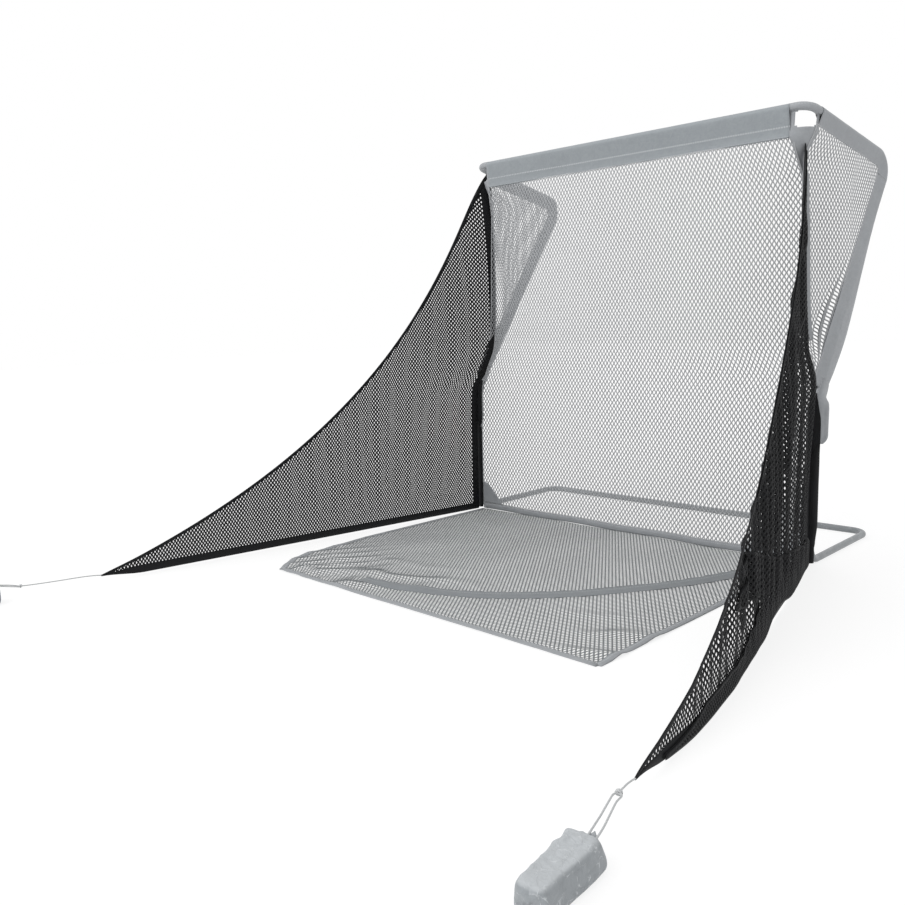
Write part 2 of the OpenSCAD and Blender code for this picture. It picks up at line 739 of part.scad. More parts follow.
crossbar(LEFT);  // crossbar_left
crossbar(RIGHT);  // crossbar_right
crossbar_joiner();
top_elbow(LEFT);  // top_elbow_left
top_elbow(RIGHT);  // top_elbow_right
roof_tube(LEFT);  // roof_tube_left
roof_tube(RIGHT);  // roof_tube_right
bent_tube(rear_bend(LEFT));  // rear_bend_left
bent_tube(rear_bend(RIGHT));  // rear_bend_right
diagonal_tube(LEFT);  // diagonal_tube_left
diagonal_tube(RIGHT);  // diagonal_tube_right
knee_tube(LEFT);  // knee_bend_left
knee_tube(RIGHT);  // knee_bend_right
upright(LEFT);  // upright_left
upright(RIGHT);  // upright_right
bent_tube(base_bend(LEFT));  // base_bend_left
bent_tube(base_bend(RIGHT));  // base_bend_right
base_tube(LEFT);  // base_tube_left
base_tube(RIGHT);  // base_tube_right
bent_tube(rear_base_bend(LEFT));  // rear_base_bend_left
bent_tube(rear_base_bend(RIGHT));  // rear_base_bend_right
rear_bar(LEFT);  // rear_bar_left
rear_bar(RIGHT);  // rear_bar_right
joiner(rear_bar_mid);  // rear_bar_joiner
crossbar_button(LEFT);  // crossbar_button_left
crossbar_button(RIGHT);  // crossbar_button_right
roof_button(LEFT);  // roof_button_left
roof_button(RIGHT);  // roof_button_right
upright_button(LEFT);  // upright_button_left
upright_button(RIGHT);  // upright_button_right
header_band();
roof_sleeve(LEFT);  // roof_sleeve_left
roof_sleeve(RIGHT);  // roof_sleeve_right
diagonal_sleeve(LEFT);  // diagonal_sleeve_left
diagonal_sleeve(RIGHT);  // diagonal_sleeve_right
corner_cover(LEFT);  // corner_cover_left
corner_cover(RIGHT);  // corner_cover_right
base_patch(LEFT);  // base_patch_left
base_patch(RIGHT);  // base_patch_right
front_hem();
main_net();
side_net(LEFT);  // side_net_left
side_net(RIGHT);  // side_net_right
floor_net();
floor_hem();
floor_band();
wing_net(LEFT);  // wing_net_left
wing_net(RIGHT);  // wing_net_right
wing_hem(LEFT);  // wing_hem_left
wing_hem(RIGHT);  // wing_hem_right
wing_straps(LEFT);  // wing_straps_left
wing_straps(RIGHT);  // wing_straps_right
wing_cord(LEFT);  // wing_cord_left
wing_cord(RIGHT);  // wing_cord_right
cord_knot(LEFT);  // cord_knot_left
cord_knot(RIGHT);  // cord_knot_right
drawcord(LEFT);  // drawcord_left
drawcord(RIGHT);  // drawcord_right
weight_bag(LEFT);  // weight_bag_left
weight_bag(RIGHT);  // weight_bag_right
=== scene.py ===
from math import (acos, atan, atan2, ceil, copysign, cos, dist, exp,
                  pi, radians, sin, sqrt, tan, tau)

import bmesh
import bpy
from mathutils import Matrix, Vector, noise


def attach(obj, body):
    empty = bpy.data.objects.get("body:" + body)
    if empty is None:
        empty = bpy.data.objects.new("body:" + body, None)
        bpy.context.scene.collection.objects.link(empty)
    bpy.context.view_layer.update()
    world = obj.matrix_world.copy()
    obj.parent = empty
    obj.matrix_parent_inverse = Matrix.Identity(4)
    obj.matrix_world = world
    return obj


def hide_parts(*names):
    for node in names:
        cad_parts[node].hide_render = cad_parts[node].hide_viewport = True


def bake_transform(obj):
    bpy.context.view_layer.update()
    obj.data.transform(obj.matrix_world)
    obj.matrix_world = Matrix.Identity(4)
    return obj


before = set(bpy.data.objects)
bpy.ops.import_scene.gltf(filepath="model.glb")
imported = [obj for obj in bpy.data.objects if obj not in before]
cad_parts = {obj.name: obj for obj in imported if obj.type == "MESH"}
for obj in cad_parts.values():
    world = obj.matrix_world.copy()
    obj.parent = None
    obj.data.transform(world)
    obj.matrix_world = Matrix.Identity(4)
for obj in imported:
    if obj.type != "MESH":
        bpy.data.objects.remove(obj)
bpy.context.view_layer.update()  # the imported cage, its bodies, joints and record

# Golf practice net: a steel tube cage dressed with an impact net, two side
# nets, a floor net and two wings that weight bags draw forward. Metres.
# X to the right, Y into the net, Z up; the origin is on the floor, in the
# middle of the front base line.

LEFT, RIGHT = -1, 1
NAME = {LEFT: "left", RIGHT: "right"}
MM = 0.001

# ---- cage centre lines ----
TUBE_R = 0.019
BASE_X = 1.200
TOP_CORNER = (1.135, -0.020, 2.385)
REAR_CORNER = (1.190, 0.960, 2.205)
KNEE_CORNER = (1.200, 0.0, 0.885)
ELBOW_R = 0.075
REAR_BEND_R = 0.100
KNEE_BEND_R = 0.220
STUB = 0.040

# ---- netting ----
GREY_CELL = (0.026, 0.038)  # a diamond mesh, point to point across and up
FLOOR_CELL = (0.0222, 0.0325)
BLACK_CELL = (0.0195, 0.0285)
# strands as (width, thickness); the width is taken where two of them cross
GREY_TWINE = (0.0106, 0.0052)
SIDE_TWINE = {LEFT: (0.0100, 0.0048), RIGHT: (0.0126, 0.0048)}  # drawn wider on the right as painted shade, since that net lies in shade
FLOOR_TWINE = (0.0104, 0.0030)
BLACK_TWINE = {LEFT: (0.0131, 0.0036), RIGHT: (0.0128, 0.0036)}
FOLD_TWINE = (0.0150, 0.0036)  # drawn together in the folds


def on(side, corner):
    """A cage corner on the left or the right."""
    return Vector((side * corner[0], corner[1], corner[2]))


def mix(a, b, t):
    return a + (b - a) * t


def clamp(value, low=0.0, high=1.0):
    return max(low, min(high, value))


def smooth(t):
    t = clamp(t)
    return t * t * (3 - 2 * t)


def wobble(x, y, z):
    """A soft random rise and fall, mostly within a half up or down."""
    return noise.noise(Vector((x, y, z)))


def read_off(rows, at):
    """A smooth curve through rows of (place, value, ...), read at a place."""
    if at <= rows[0][0]:
        return list(rows[0][1:])
    if at >= rows[-1][0]:
        return list(rows[-1][1:])
    i = max(k for k, row in enumerate(rows) if row[0] <= at)
    a, b, c, d = (rows[clamp(k, 0, len(rows) - 1)] for k in range(i - 1, i + 3))
    t = (at - b[0]) / (c[0] - b[0])
    return [0.5 * (2 * q + (r - p) * t + (2 * p - 5 * q + 4 * r - s) * t * t
                   + (3 * q - p - 3 * r + s) * t ** 3)
            for p, q, r, s in zip(a[1:], b[1:], c[1:], d[1:])]


def smooth_line(points, steps):
    """A smooth line through points, with that many steps between each pair."""
    rows = [(i, *p) for i, p in enumerate(points)]
    return [Vector(read_off(rows, i / steps))
            for i in range((len(points) - 1) * steps + 1)]


def line_length(line):
    return sum((b - a).length for a, b in zip(line, line[1:]))


# ---- camera ----

def place_camera():
    """Standing height, in front of the net and to its right."""
    yaw, pitch, roll = (radians(a) for a in (44.692, 8.67, -1.735))
    data = bpy.data.cameras.new("camera")
    data.sensor_fit = "HORIZONTAL"
    data.sensor_width = 36
    data.lens = 885.51 / 905 * 36
    data.clip_end = 100
    camera = bpy.data.objects.new("camera", data)
    camera.matrix_world = (
        Matrix.Translation((3.0957, -4.6275, 1.3785)) @ Matrix.Rotation(yaw, 4, "Z")
        @ Matrix.Rotation(pi / 2 - pitch, 4, "X") @ Matrix.Rotation(roll, 4, "Z"))
    bpy.context.scene.collection.objects.link(camera)
    bpy.context.scene.camera = camera


# ---- materials ----

def paint(code):
    """An sRGB hex colour as linear RGBA."""
    values = [int(code[i:i + 2], 16) / 255 for i in (1, 3, 5)]
    return [v / 12.92 if v <= 0.04045 else ((v + 0.055) / 1.055) ** 2.4
            for v in values] + [1.0]


def add(tree, kind, inputs=None, **settings):
    """Adds a node with its settings; inputs are constants or sockets to link."""
    node = tree.nodes.new("ShaderNode" + kind)
    for name, value in settings.items():
        setattr(node, name, value)
    for name, value in (inputs or {}).items():
        if isinstance(value, bpy.types.NodeSocket):
            tree.links.new(value, node.inputs[name])
        else:
            node.inputs[name].default_value = value
    return node


def start_material(name):
    material = bpy.data.materials.new(name)
    material.use_nodes = True
    tree = material.node_tree
    tree.nodes.clear()
    return material, tree


def object_place(tree):
    return add(tree, "TexCoord").outputs["Object"]


def cloth_uv(tree):
    """The piece's own flat map, in metres."""
    return add(tree, "UVMap", uv_map="Cloth").outputs[0]


def clouds(tree, place, millimetres, detail, roughness=0.5, distortion=0.0):
    """Noise with features that large."""
    return add(tree, "TexNoise", {
        "Vector": place, "Scale": 1 / (millimetres * MM), "Detail": detail,
        "Roughness": roughness, "Distortion": distortion}).outputs["Fac"]


def bands(tree, place, millimetres, way="X"):
    """Soft bands that lie that far apart."""
    scale = pi / 10 / (millimetres * MM)
    return add(tree, "TexWave", {"Vector": place, "Scale": scale},
               wave_type="BANDS", bands_direction=way).outputs["Fac"]


def ranged(tree, value, to_low, to_high, low=0.0, high=1.0):
    """A value between low and high, drawn out to another range."""
    return add(tree, "MapRange", {"Value": value, "From Min": low, "From Max": high,
                                  "To Min": to_low, "To Max": to_high}).outputs[0]


def maths(tree, operation, *values, **settings):
    """One sum on constants or sockets."""
    return add(tree, "Math", dict(enumerate(values)), operation=operation,
               **settings).outputs[0]


def blended(tree, share, a, b, **settings):
    """Two colours mixed by a share; each is a hex code or a socket."""
    a, b = (paint(c) if isinstance(c, str) else c for c in (a, b))
    return add(tree, "Mix", {0: share, 6: a, 7: b}, data_type="RGBA",
               **settings).outputs[2]


def close_material(tree, shader):
    add(tree, "OutputMaterial", {"Surface": shader.outputs[0]})


def shaded(tree, colour, rough, height, strength, depth, more, invert=False):
    """The shader at the end of a material, with bumps of that depth in metres."""
    bump = add(tree, "Bump", {"Height": height, "Strength": strength, "Distance": depth},
               invert=invert)
    close_material(tree, add(tree, "BsdfPrincipled", {
        "Base Color": colour, "Roughness": rough, "Normal": bump.outputs[0], **more}))


def powder_coated_steel():
    """Steel tube under grey powder coat: a satin skin with fine orange peel,
    rubbed a little paler in patches."""
    material, tree = start_material("powder_coated_steel_sprayed_and_baked")
    place = object_place(tree)
    # orange peel is about 1 mm across; drawn at 3 mm so that it shows
    peel = clouds(tree, place, 3, 3.0, 0.55)
    rubs = clouds(tree, place, 45, 6.0, 0.7)
    worn = ranged(tree, rubs, 0.0, 1.0, 0.54, 0.72)
    shaded(tree, blended(tree, worn, "#8f9396", "#a9acaf"),
           ranged(tree, rubs, 0.5, 0.34, 0.3, 0.7), peel, 0.25, 0.0006,
           {"IOR": 1.5, "Coat Weight": 0.15, "Coat Roughness": 0.3})
    return material


def zinc_plated_steel():
    """Zinc-plated spring steel, tumbled bright: soft streaks and a blurred shine."""
    material, tree = start_material("zinc_plated_spring_steel_tumbled")
    place = object_place(tree)
    streaks = clouds(tree, place, 2, 4.0)
    shaded(tree, blended(tree, streaks, "#b9bcbf", "#d6d8d9"),
           ranged(tree, streaks, 0.24, 0.42), streaks, 0.2, 0.0003, {"Metallic": 1.0})
    return material


def oxford_cloth(name, dark, light, thread="#b9bdc0", rows=(0.009, 0.041)):
    """Coated polyester oxford, plain woven: a fine grid of threads, a faint
    sheen, and two rows of lockstitch at the given distances from the sewn edge."""
    material, tree = start_material(name)
    place = object_place(tree)
    uv = cloth_uv(tree)
    # threads lie 0.6 mm apart; drawn 5 mm apart, the finest that still shows
    weave = maths(tree, "MULTIPLY", bands(tree, uv, 5), bands(tree, uv, 5, "Y"))
    cloud = clouds(tree, place, 90, 5.0, 0.6)
    crease = clouds(tree, place, 22, 4.0, distortion=1.2)
    tone = maths(tree, "MULTIPLY_ADD", crease, 0.35, 0.04)
    woven = blended(tree, tone, blended(tree, cloud, dark, light), dark,
                    blend_type="MULTIPLY")
    # stitches 7 mm apart
    along, across = add(tree, "SeparateXYZ", {0: uv}).outputs[:2]
    dash = maths(tree, "GREATER_THAN", maths(tree, "PINGPONG", along, 7 * MM), 2.2 * MM)
    near = [maths(tree, "COMPARE", across, row, 1.1 * MM) for row in rows]
    stitch = maths(tree, "MULTIPLY", maths(tree, "MAXIMUM", *near), dash)
    height = maths(tree, "MULTIPLY_ADD", weave, 0.05, crease)
    shaded(tree, blended(tree, stitch, woven, thread), ranged(tree, cloud, 0.62, 0.8),
           maths(tree, "ADD", height, stitch), 0.5, 0.0016,
           {"Sheen Weight": 0.15, "Sheen Roughness": 0.5})
    return material


def knotless_twine(name, dark, light, sheen):
    """Knotless polyester twine, braided and heat set: dull, slightly furry
    strands whose plaits break up the light, with painted shade in the grooves between them."""
    material, tree = start_material(name)
    place = object_place(tree)
    # plaits repeat every 2 mm; drawn at 4 mm so that they show
    plait = add(tree, "TexVoronoi", {"Vector": place, "Scale": 1 / (4 * MM)})
    plait = plait.outputs["Distance"]
    cloud = clouds(tree, place, 160, 4.0)
    # painted shade: the colour is darkened towards the grooves between the plaits
    groove_shaded = add(tree, "VectorMath", {0: blended(tree, cloud, dark, light),
                                       "Scale": ranged(tree, plait, 1.0, 0.8)},
                  operation="SCALE")
    shaded(tree, groove_shaded.outputs[0], ranged(tree, cloud, 0.6, 0.78), plait, 0.5, 0.001,
           {"Sheen Weight": sheen, "Specular IOR Level": 0.25}, invert=True)
    return material


def ribbed_webbing():
    """Black polyester webbing, loom woven: ribs along its length, dusty in
    patches."""
    material, tree = start_material("black_polyester_webbing_woven")
    place = object_place(tree)
    uv = cloth_uv(tree)
    # ribs 1.5 mm apart; drawn at 4 mm so that they show
    weave = maths(tree, "MULTIPLY_ADD", bands(tree, uv, 6), 0.4, bands(tree, uv, 4, "Y"))
    dust = clouds(tree, place, 70, 6.0, 0.65)
    dusty = ranged(tree, dust, 0.0, 1.0, 0.45, 0.8)
    shaded(tree, blended(tree, dusty, "#06070a", "#15171b"),
           ranged(tree, dust, 0.55, 0.75), weave, 0.6, 0.001,
           {"Specular IOR Level": 0.25})
    return material


def braided_cord():
    """Sixteen-plait polyester cord: crossed diagonal strands, pale, with painted
    shade in the grooves."""
    material, tree = start_material("polyester_cord_sixteen_plait")
    uv = cloth_uv(tree)
    turned = [add(tree, "Mapping", {"Vector": uv, "Rotation": (0, 0, radians(turn))})
              for turn in (45, -45)]
    # the plait repeats every 4 mm along the cord
    plait = maths(tree, "MAXIMUM", *(bands(tree, t.outputs[0], 4) for t in turned))
    # painted shade: the colour is darker in the grooves between the strands
    shaded(tree, blended(tree, plait, "#8d9092", "#d3d5d6"),
           ranged(tree, plait, 0.8, 0.55), plait, 0.6, 0.0008, {"Sheen Weight": 0.2})
    return material


def ripstop_nylon():
    """Thin coated ripstop nylon, woven: painted top light on the faces that point up,
    a pale line of worn coating on the creases, and a faint grid of thicker threads."""
    material, tree = start_material("ripstop_nylon_coated")
    place = object_place(tree)
    uv = cloth_uv(tree)
    # the thick threads lie 6 mm apart each way
    threads = maths(tree, "MAXIMUM", bands(tree, uv, 6), bands(tree, uv, 6, "Y"))
    crumple = clouds(tree, place, 34, 5.0, 0.6, 0.8)
    swerve = add(tree, "VectorMath", {0: crumple.node.outputs["Color"], "Scale": 0.035},
                 operation="SCALE")
    bent = add(tree, "VectorMath", {0: place, 1: swerve.outputs[0]}, operation="ADD")
    facets = add(tree, "TexVoronoi", {"Vector": bent.outputs[0], "Scale": 1 / (52 * MM)},
                 feature="DISTANCE_TO_EDGE")
    crease = ranged(tree, facets.outputs[0], 1.0, 0.0, 0.0, 0.04)
    patchy = ranged(tree, crumple, 0.0, 1.0, 0.46, 0.62)
    # painted top light: the cloth is painted paler on faces that point up, where more light
    # falls
    normal = add(tree, "NewGeometry").outputs["Normal"]
    upward = add(tree, "SeparateXYZ", {0: normal}).outputs[2]
    painted_top_light = ranged(tree, upward, 0.0, 0.75, 0.35, 0.95)
    cloth = blended(tree, painted_top_light, blended(tree, crumple, "#858a8e", "#a4a9ad"), "#c6cacd")
    worn = maths(tree, "MULTIPLY", crease, patchy)
    height = maths(tree, "MULTIPLY_ADD", threads, 0.03, crumple)
    height = maths(tree, "MULTIPLY_ADD", crease, 0.15, height)
    shaded(tree, blended(tree, worn, cloth, "#d2d6d9"),
           ranged(tree, crumple, 0.65, 0.45), height, 0.7, 0.006, {"Sheen Weight": 0.1})
    return material


# ---- making pieces ----

def unit_grid(across, up, width, height):
    """A square grid with its own UV map in metres, before it takes its shape."""
    bm = bmesh.new()
    bmesh.ops.create_grid(bm, x_segments=across, y_segments=up, size=0.5)
    layer = bm.loops.layers.uv.new("Cloth")
    for face in bm.faces:
        for loop in face.loops:
            x, y = loop.vert.co.xy
            loop[layer].uv = ((x + 0.5) * width, (y + 0.5) * height)
    return bm


def tube_skin(rings, around, place, length, girth, wall=0.0):
    """A skin round a line: place(u, v) with u along it and v once round it.
    With a wall the ends stay open, and without one they are closed."""
    bm = unit_grid(rings, around, length, girth)
    for vertex in bm.verts:
        vertex.co = place(vertex.co.x + 0.5, vertex.co.y + 0.5)
    bmesh.ops.remove_doubles(bm, verts=bm.verts, dist=1e-5)
    if not wall:
        bmesh.ops.holes_fill(bm, edges=[e for e in bm.edges if e.is_boundary])
    bmesh.ops.recalc_face_normals(bm, faces=bm.faces)
    if wall:
        bmesh.ops.solidify(bm, geom=bm.faces[:], thickness=wall)
    return bm


def cloth_panel(across, up, place, width, height, wall, window=None):
    """A panel of cloth with a wall; window(u, v) says where it is cut out."""
    bm = unit_grid(across, up, width, height)
    if window:
        middles = [(f, f.calc_center_median()) for f in bm.faces]
        cut = [f for f, middle in middles if window(middle.x + 0.5, middle.y + 0.5)]
        bmesh.ops.delete(bm, geom=cut, context="FACES")
    bmesh.ops.solidify(bm, geom=bm.faces[:], thickness=1.0)
    for vertex in bm.verts:
        u, v, layer = vertex.co.x + 0.5, vertex.co.y + 0.5, vertex.co.z
        a = place(min(1, u + 1 / across), v) - place(max(0, u - 1 / across), v)
        b = place(u, min(1, v + 1 / up)) - place(u, max(0, v - 1 / up))
        vertex.co = place(u, v) + a.cross(b).normalized() * (wall * (layer - 0.5))
    bmesh.ops.recalc_face_normals(bm, faces=bm.faces)
    return bm


def joined(parts):
    """Several bmeshes as one."""
    whole = bmesh.new()
    for part in parts:
        mesh = bpy.data.meshes.new("joining")
        part.to_mesh(mesh)
        part.free()
        whole.from_mesh(mesh)
        bpy.data.meshes.remove(mesh)
    return whole


def new_object(name, bm, material):
    mesh = bpy.data.meshes.new(name)
    bm.to_mesh(mesh)
    bm.free()
    mesh.materials.append(material)
    obj = bpy.data.objects.new(name, mesh)
    bpy.context.scene.collection.objects.link(obj)
    return obj


def make_piece(name, bm, material, body=None, stands_for=()):
    piece = new_object(name, bm, material)
    piece.data.shade_smooth()
    if body:
        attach(piece, body)
    if stands_for:
        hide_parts(*stands_for)
    return piece


def diamond_mesh(low, high, cell=GREY_CELL):
    """A flat sheet of diamond cells that covers the rectangle low to high."""
    (x0, y0), (x1, y1) = low, high
    count = ceil((x1 - x0) / cell[0] + (y1 - y0) / cell[1]) + 2
    turn = Matrix.Rotation(radians(45), 3, "Z")
    stretch = (cell[0] / sqrt(2), cell[1] / sqrt(2), 1)
    bm = bmesh.new()
    bmesh.ops.create_grid(bm, x_segments=count, y_segments=count, size=count / 2)
    bmesh.ops.rotate(bm, verts=bm.verts, matrix=turn)
    bmesh.ops.scale(bm, verts=bm.verts, vec=stretch)
    bmesh.ops.translate(bm, verts=bm.verts, vec=((x0 + x1) / 2, (y0 + y1) / 2, 0))
    return bm


def trim(bm, outline):
    """Cuts a flat mesh to a convex outline that is given counter-clockwise."""
    for i, a in enumerate(outline):
        b = outline[(i + 1) % len(outline)]
        bmesh.ops.bisect_plane(
            bm, geom=bm.verts[:] + bm.edges[:] + bm.faces[:], dist=1e-5,
            plane_co=(a[0], a[1], 0), plane_no=(b[1] - a[1], a[0] - b[0], 0),
            clear_outer=True)


def trim_box(bm, low, high):
    trim(bm, [low, (high[0], low[1]), high, (low[0], high[1])])


def trim_between(bm, edges):
    """Cuts a flat mesh along two curves; edges(x) is its lowest and highest y."""
    for vertex in bm.verts:
        low, high = edges(vertex.co.x)
        vertex.co.y = (vertex.co.y - low) / max(0.003, high - low)
    trim_box(bm, (-1.0, 0.0), (9.0, 1.0))
    for vertex in bm.verts:
        low, high = edges(vertex.co.x)
        vertex.co.y = low + vertex.co.y * max(0.003, high - low)


def twist_twine(bm, surface, twine):
    """Makes every edge of a flat mesh a flat strand, laid on a surface."""
    width, thick = twine
    bmesh.ops.remove_doubles(bm, verts=bm.verts, dist=0.004)
    bmesh.ops.recalc_face_normals(bm, faces=bm.faces)
    bmesh.ops.wireframe(bm, faces=bm.faces[:], thickness=width, use_replace=True,
                        use_boundary=True, use_even_offset=False)
    for vertex in bm.verts:
        x, y, off = vertex.co
        at = surface(x, y)
        if abs(off) > 1e-5:
            at += normal_of(surface, x, y) * (off * thick / width)
        vertex.co = at
    bmesh.ops.recalc_face_normals(bm, faces=bm.faces)
    return bm


def normal_of(surface, x, y, step=0.004):
    """The way that a surface faces at a place on it."""
    a = surface(x + step, y) - surface(x - step, y)
    b = surface(x, y + step) - surface(x, y - step)
    return a.cross(b).normalized()


def tape(surface, line, width, thick, rings, around=8, lift=0.0):
    """A tape with rounded edges along a line(u) on a surface; its width may be
    a number or change as width(u)."""
    wide = width if callable(width) else lambda u: width

    def place(u, v):
        x, y = line(u)
        ahead, behind = line(min(1, u + 0.002)), line(max(0, u - 0.002))
        along = Vector((ahead[0] - behind[0], ahead[1] - behind[1])).normalized()
        turn = tau * v
        out = wide(u) / 2 * cos(turn)
        at = surface(x - along.y * out, y + along.x * out)
        return at + normal_of(surface, x, y) * (lift + thick / 2 * sin(turn))
    length = line_length([surface(*line(i / 40)) for i in range(41)])
    return tube_skin(rings, around, place, length, 2 * wide(0.5))


def straight(a, b):
    return lambda u: (mix(a[0], b[0], u), mix(a[1], b[1], u))


# ---- cords ----

CORD_D = 0.006
WING_CORD = {
    LEFT: [(-1.6101, -2.645, .036), (-1.614, -2.670, .040), (-1.621, -2.720, .045),
           (-1.629, -2.780, .048), (-1.637, -2.840, .050), (-1.646, -2.900, .052),
           (-1.654, -2.960, .055), (-1.661, -3.010, .058), (-1.666, -3.047, .061)],
    RIGHT: [(1.7629, -2.5653, .036), (1.766, -2.585, .040), (1.772, -2.610, .046),
            (1.778, -2.635, .051), (1.785, -2.660, .055), (1.791, -2.685, .059),
            (1.795, -2.697, .061)],
}
DRAWCORD = {
    LEFT: [(-1.700, -3.179, .091), (-1.697, -3.160, .087), (-1.691, -3.130, .081),
           (-1.684, -3.100, .075), (-1.679, -3.080, .070), (-1.675, -3.066, .066),
           (-1.667, -3.055, .063), (-1.657, -3.054, .062), (-1.651, -3.062, .063),
           (-1.653, -3.076, .067), (-1.659, -3.100, .072), (-1.668, -3.130, .079),
           (-1.679, -3.160, .086), (-1.684, -3.179, .091)],
    RIGHT: [(1.880, -2.961, .091), (1.874, -2.942, .089), (1.859, -2.900, .084),
            (1.841, -2.850, .078), (1.822, -2.800, .073), (1.803, -2.750, .068),
            (1.793, -2.724, .064), (1.792, -2.712, .063), (1.799, -2.704, .062),
            (1.809, -2.705, .062), (1.815, -2.716, .063), (1.824, -2.750, .068),
            (1.844, -2.800, .074), (1.865, -2.850, .080), (1.885, -2.900, .085),
            (1.900, -2.942, .090), (1.906, -2.961, .092)],
}


def rope(line, diameter, around=12):
    """A round cord along a smooth line."""
    last = len(line) - 1

    def place(u, v):
        i = round(u * last)
        along = (line[min(i + 1, last)] - line[max(i - 1, 0)]).normalized()
        across = (Vector((0, 0, 1)) - along * along.z).normalized()
        turn = tau * v
        return line[i] + diameter / 2 * (cos(turn) * across
                                         + sin(turn) * along.cross(across))
    return tube_skin(last, around, place, line_length(line), pi * diameter)


def knot_line(line):
    """Two turns round the drawcord at a line's end, crossed by a locking turn."""
    ahead = (line[-1] - line[-3]).normalized()
    side = ahead.cross(Vector((0, 0, 1))).normalized()
    up = side.cross(ahead)
    points = []
    for i in range(49):
        t = i / 48
        turn = tau * 2.5 * t
        r = 0.0062 + 0.0012 * sin(tau * t)
        points.append(line[-1] + ahead * (0.011 * (t - 0.5) * cos(pi * t * 2))
                      + side * r * cos(turn) * 1.25 + up * r * sin(turn))
    return points


def make_cords(material):
    for side, name in NAME.items():
        line = smooth_line(WING_CORD[side], 4)
        loop = smooth_line(DRAWCORD[side], 4)
        wing_cord, knot, drawcord = (
            make_piece(title + name, bm, material, name + "_wing",
                       [node + name])
            for title, node, bm in (
                ("wing_line_", "wing_cord_", rope(line, CORD_D)),
                ("tied_knot_", "cord_knot_", rope(knot_line(line), CORD_D, 10)),
                ("bag_drawstring_", "drawcord_", rope(loop, CORD_D))))
        round(line_length(line), 3)
        round(line_length(loop), 3)


# ---- header, sleeves and corner hoods ----

SLEEVE_R = 0.0236
TUBE_STEP, BEND_STEP = 0.02, 0.012  # from ring to ring
HEADER_HALF, HEADER_Y, HEADER_Z = 1.040, -0.020, 2.3817
# how far they hang below the tube's centre line, and where they are sewn shut
HEADER_DROP, HEADER_SEAM = 0.1435, 0.118
SLEEVE_DROP, SLEEVE_SEAM = 0.0755, 0.066
NET_DROP = 0.0715  # where the side nets are sewn to the sleeves
SLEEVE_LOW = 0.074  # the sleeve's lower edge, as seen from the side


def sleeve_profile(width, seam):
    """Once round a sleeve from its sewn edge, as (outward, sideways) pairs, and
    how long that is."""
    half, arc = 0.0013, 14
    turn = pi - acos(SLEEVE_R / seam)
    start = (cos(turn) * SLEEVE_R, sin(turn) * SLEEVE_R)
    quarters = (0.25, 0.5, 0.75)
    outline = [(-width, half)]
    outline += [(-mix(width, seam, t), half) for t in (*quarters, 1.0)]
    outline += [(mix(-seam, start[0], t), mix(half, start[1], t)) for t in quarters]
    outline += [(SLEEVE_R * cos(a), SLEEVE_R * sin(a))
                for a in (mix(turn, 0, i / arc) for i in range(arc + 1))]
    outline += [(x, -y) for x, y in reversed(outline[:-1])]
    girth = 0.0
    for a, b in zip(outline, outline[1:]):
        girth += dist(a, b)
    return outline, girth


def sleeve_skin(frames, width, seam, ripple, loose=((0, 0), (1, 0))):
    """A sleeve round a tube, its run and its girth; frames are (centre, outward,
    sideways) along the tube, and loose says how far its outer side hangs away."""
    outline, girth = sleeve_profile(width, seam)
    around, last = len(outline), len(frames) - 1
    run = line_length([f[0] for f in frames])

    def place(u, v):
        centre, outward, sideways = frames[round(u * last)]
        x, y = outline[round(v * around) % around]
        slack = smooth((-x - 0.02) / 0.05)
        x += read_off(loose, u)[0] * clamp(x / SLEEVE_R) ** 0.8
        wave = wobble(u * run * 6, x * 9, y * 30 + width * 50)
        x += slack * ripple * 0.5 * wobble(u * run * 2.2, 4.1, width)
        y += slack * ripple * wave + 0.0006 * wobble(u * run * 25, x * 60, 7)
        return centre + outward * x + sideways * y
    return tube_skin(last, around, place, run, girth, wall=0.0012), run, girth


def make_header(material):
    count = 120
    frames = [(Vector((mix(-HEADER_HALF, HEADER_HALF, i / count), HEADER_Y, HEADER_Z)),
               Vector((0, 0, 1)), Vector((0, -1, 0))) for i in range(count + 1)]
    bm, run, girth = sleeve_skin(frames, HEADER_DROP, HEADER_SEAM, 0.003)
    header = make_piece("header_cloth", bm, material, "cage",
                        ["header_band"])


def tangent_length(radius, a, b):
    """From a corner to where its bend begins; a and b lie along its two tubes."""
    return radius / tan(a.angle(b) / 2)


def bend_frames(corner, before, after, radius, lead, tail):
    """Frames along a tube: lead metres before a bend, round it, tail after it."""
    a, b = (before - corner).normalized(), (after - corner).normalized()
    half = a.angle(b) / 2
    tangent = tangent_length(radius, a, b)
    centre = corner + (a + b).normalized() * radius / sin(half)
    side = b.cross(a).normalized()
    first = (corner + a * tangent - centre).normalized()
    turn = pi - 2 * half
    leads, tails = (max(1, round(length / TUBE_STEP)) for length in (lead, tail))
    steps = max(6, round(turn * radius / BEND_STEP))
    frames = [(corner + a * (tangent + lead * (1 - i / leads)), first, side)
              for i in range(leads)]
    for i in range(steps + 1):
        radial = Matrix.Rotation(turn * i / steps, 3, side) @ first
        frames.append((centre + radial * radius, radial, side))
    return frames + [(corner + b * (tangent + tail * i / tails), radial, side)
                     for i in range(1, tails + 1)]


KNEE_LEAN = (REAR_CORNER[1] - KNEE_CORNER[1]) / (REAR_CORNER[2] - KNEE_CORNER[2])
KNEE_TANGENT = 0.0715  # from the knee's corner down to where its bend begins
HANGS = (0.82, 0.57, 0)  # the way that the loose end of the diagonal sleeve hangs


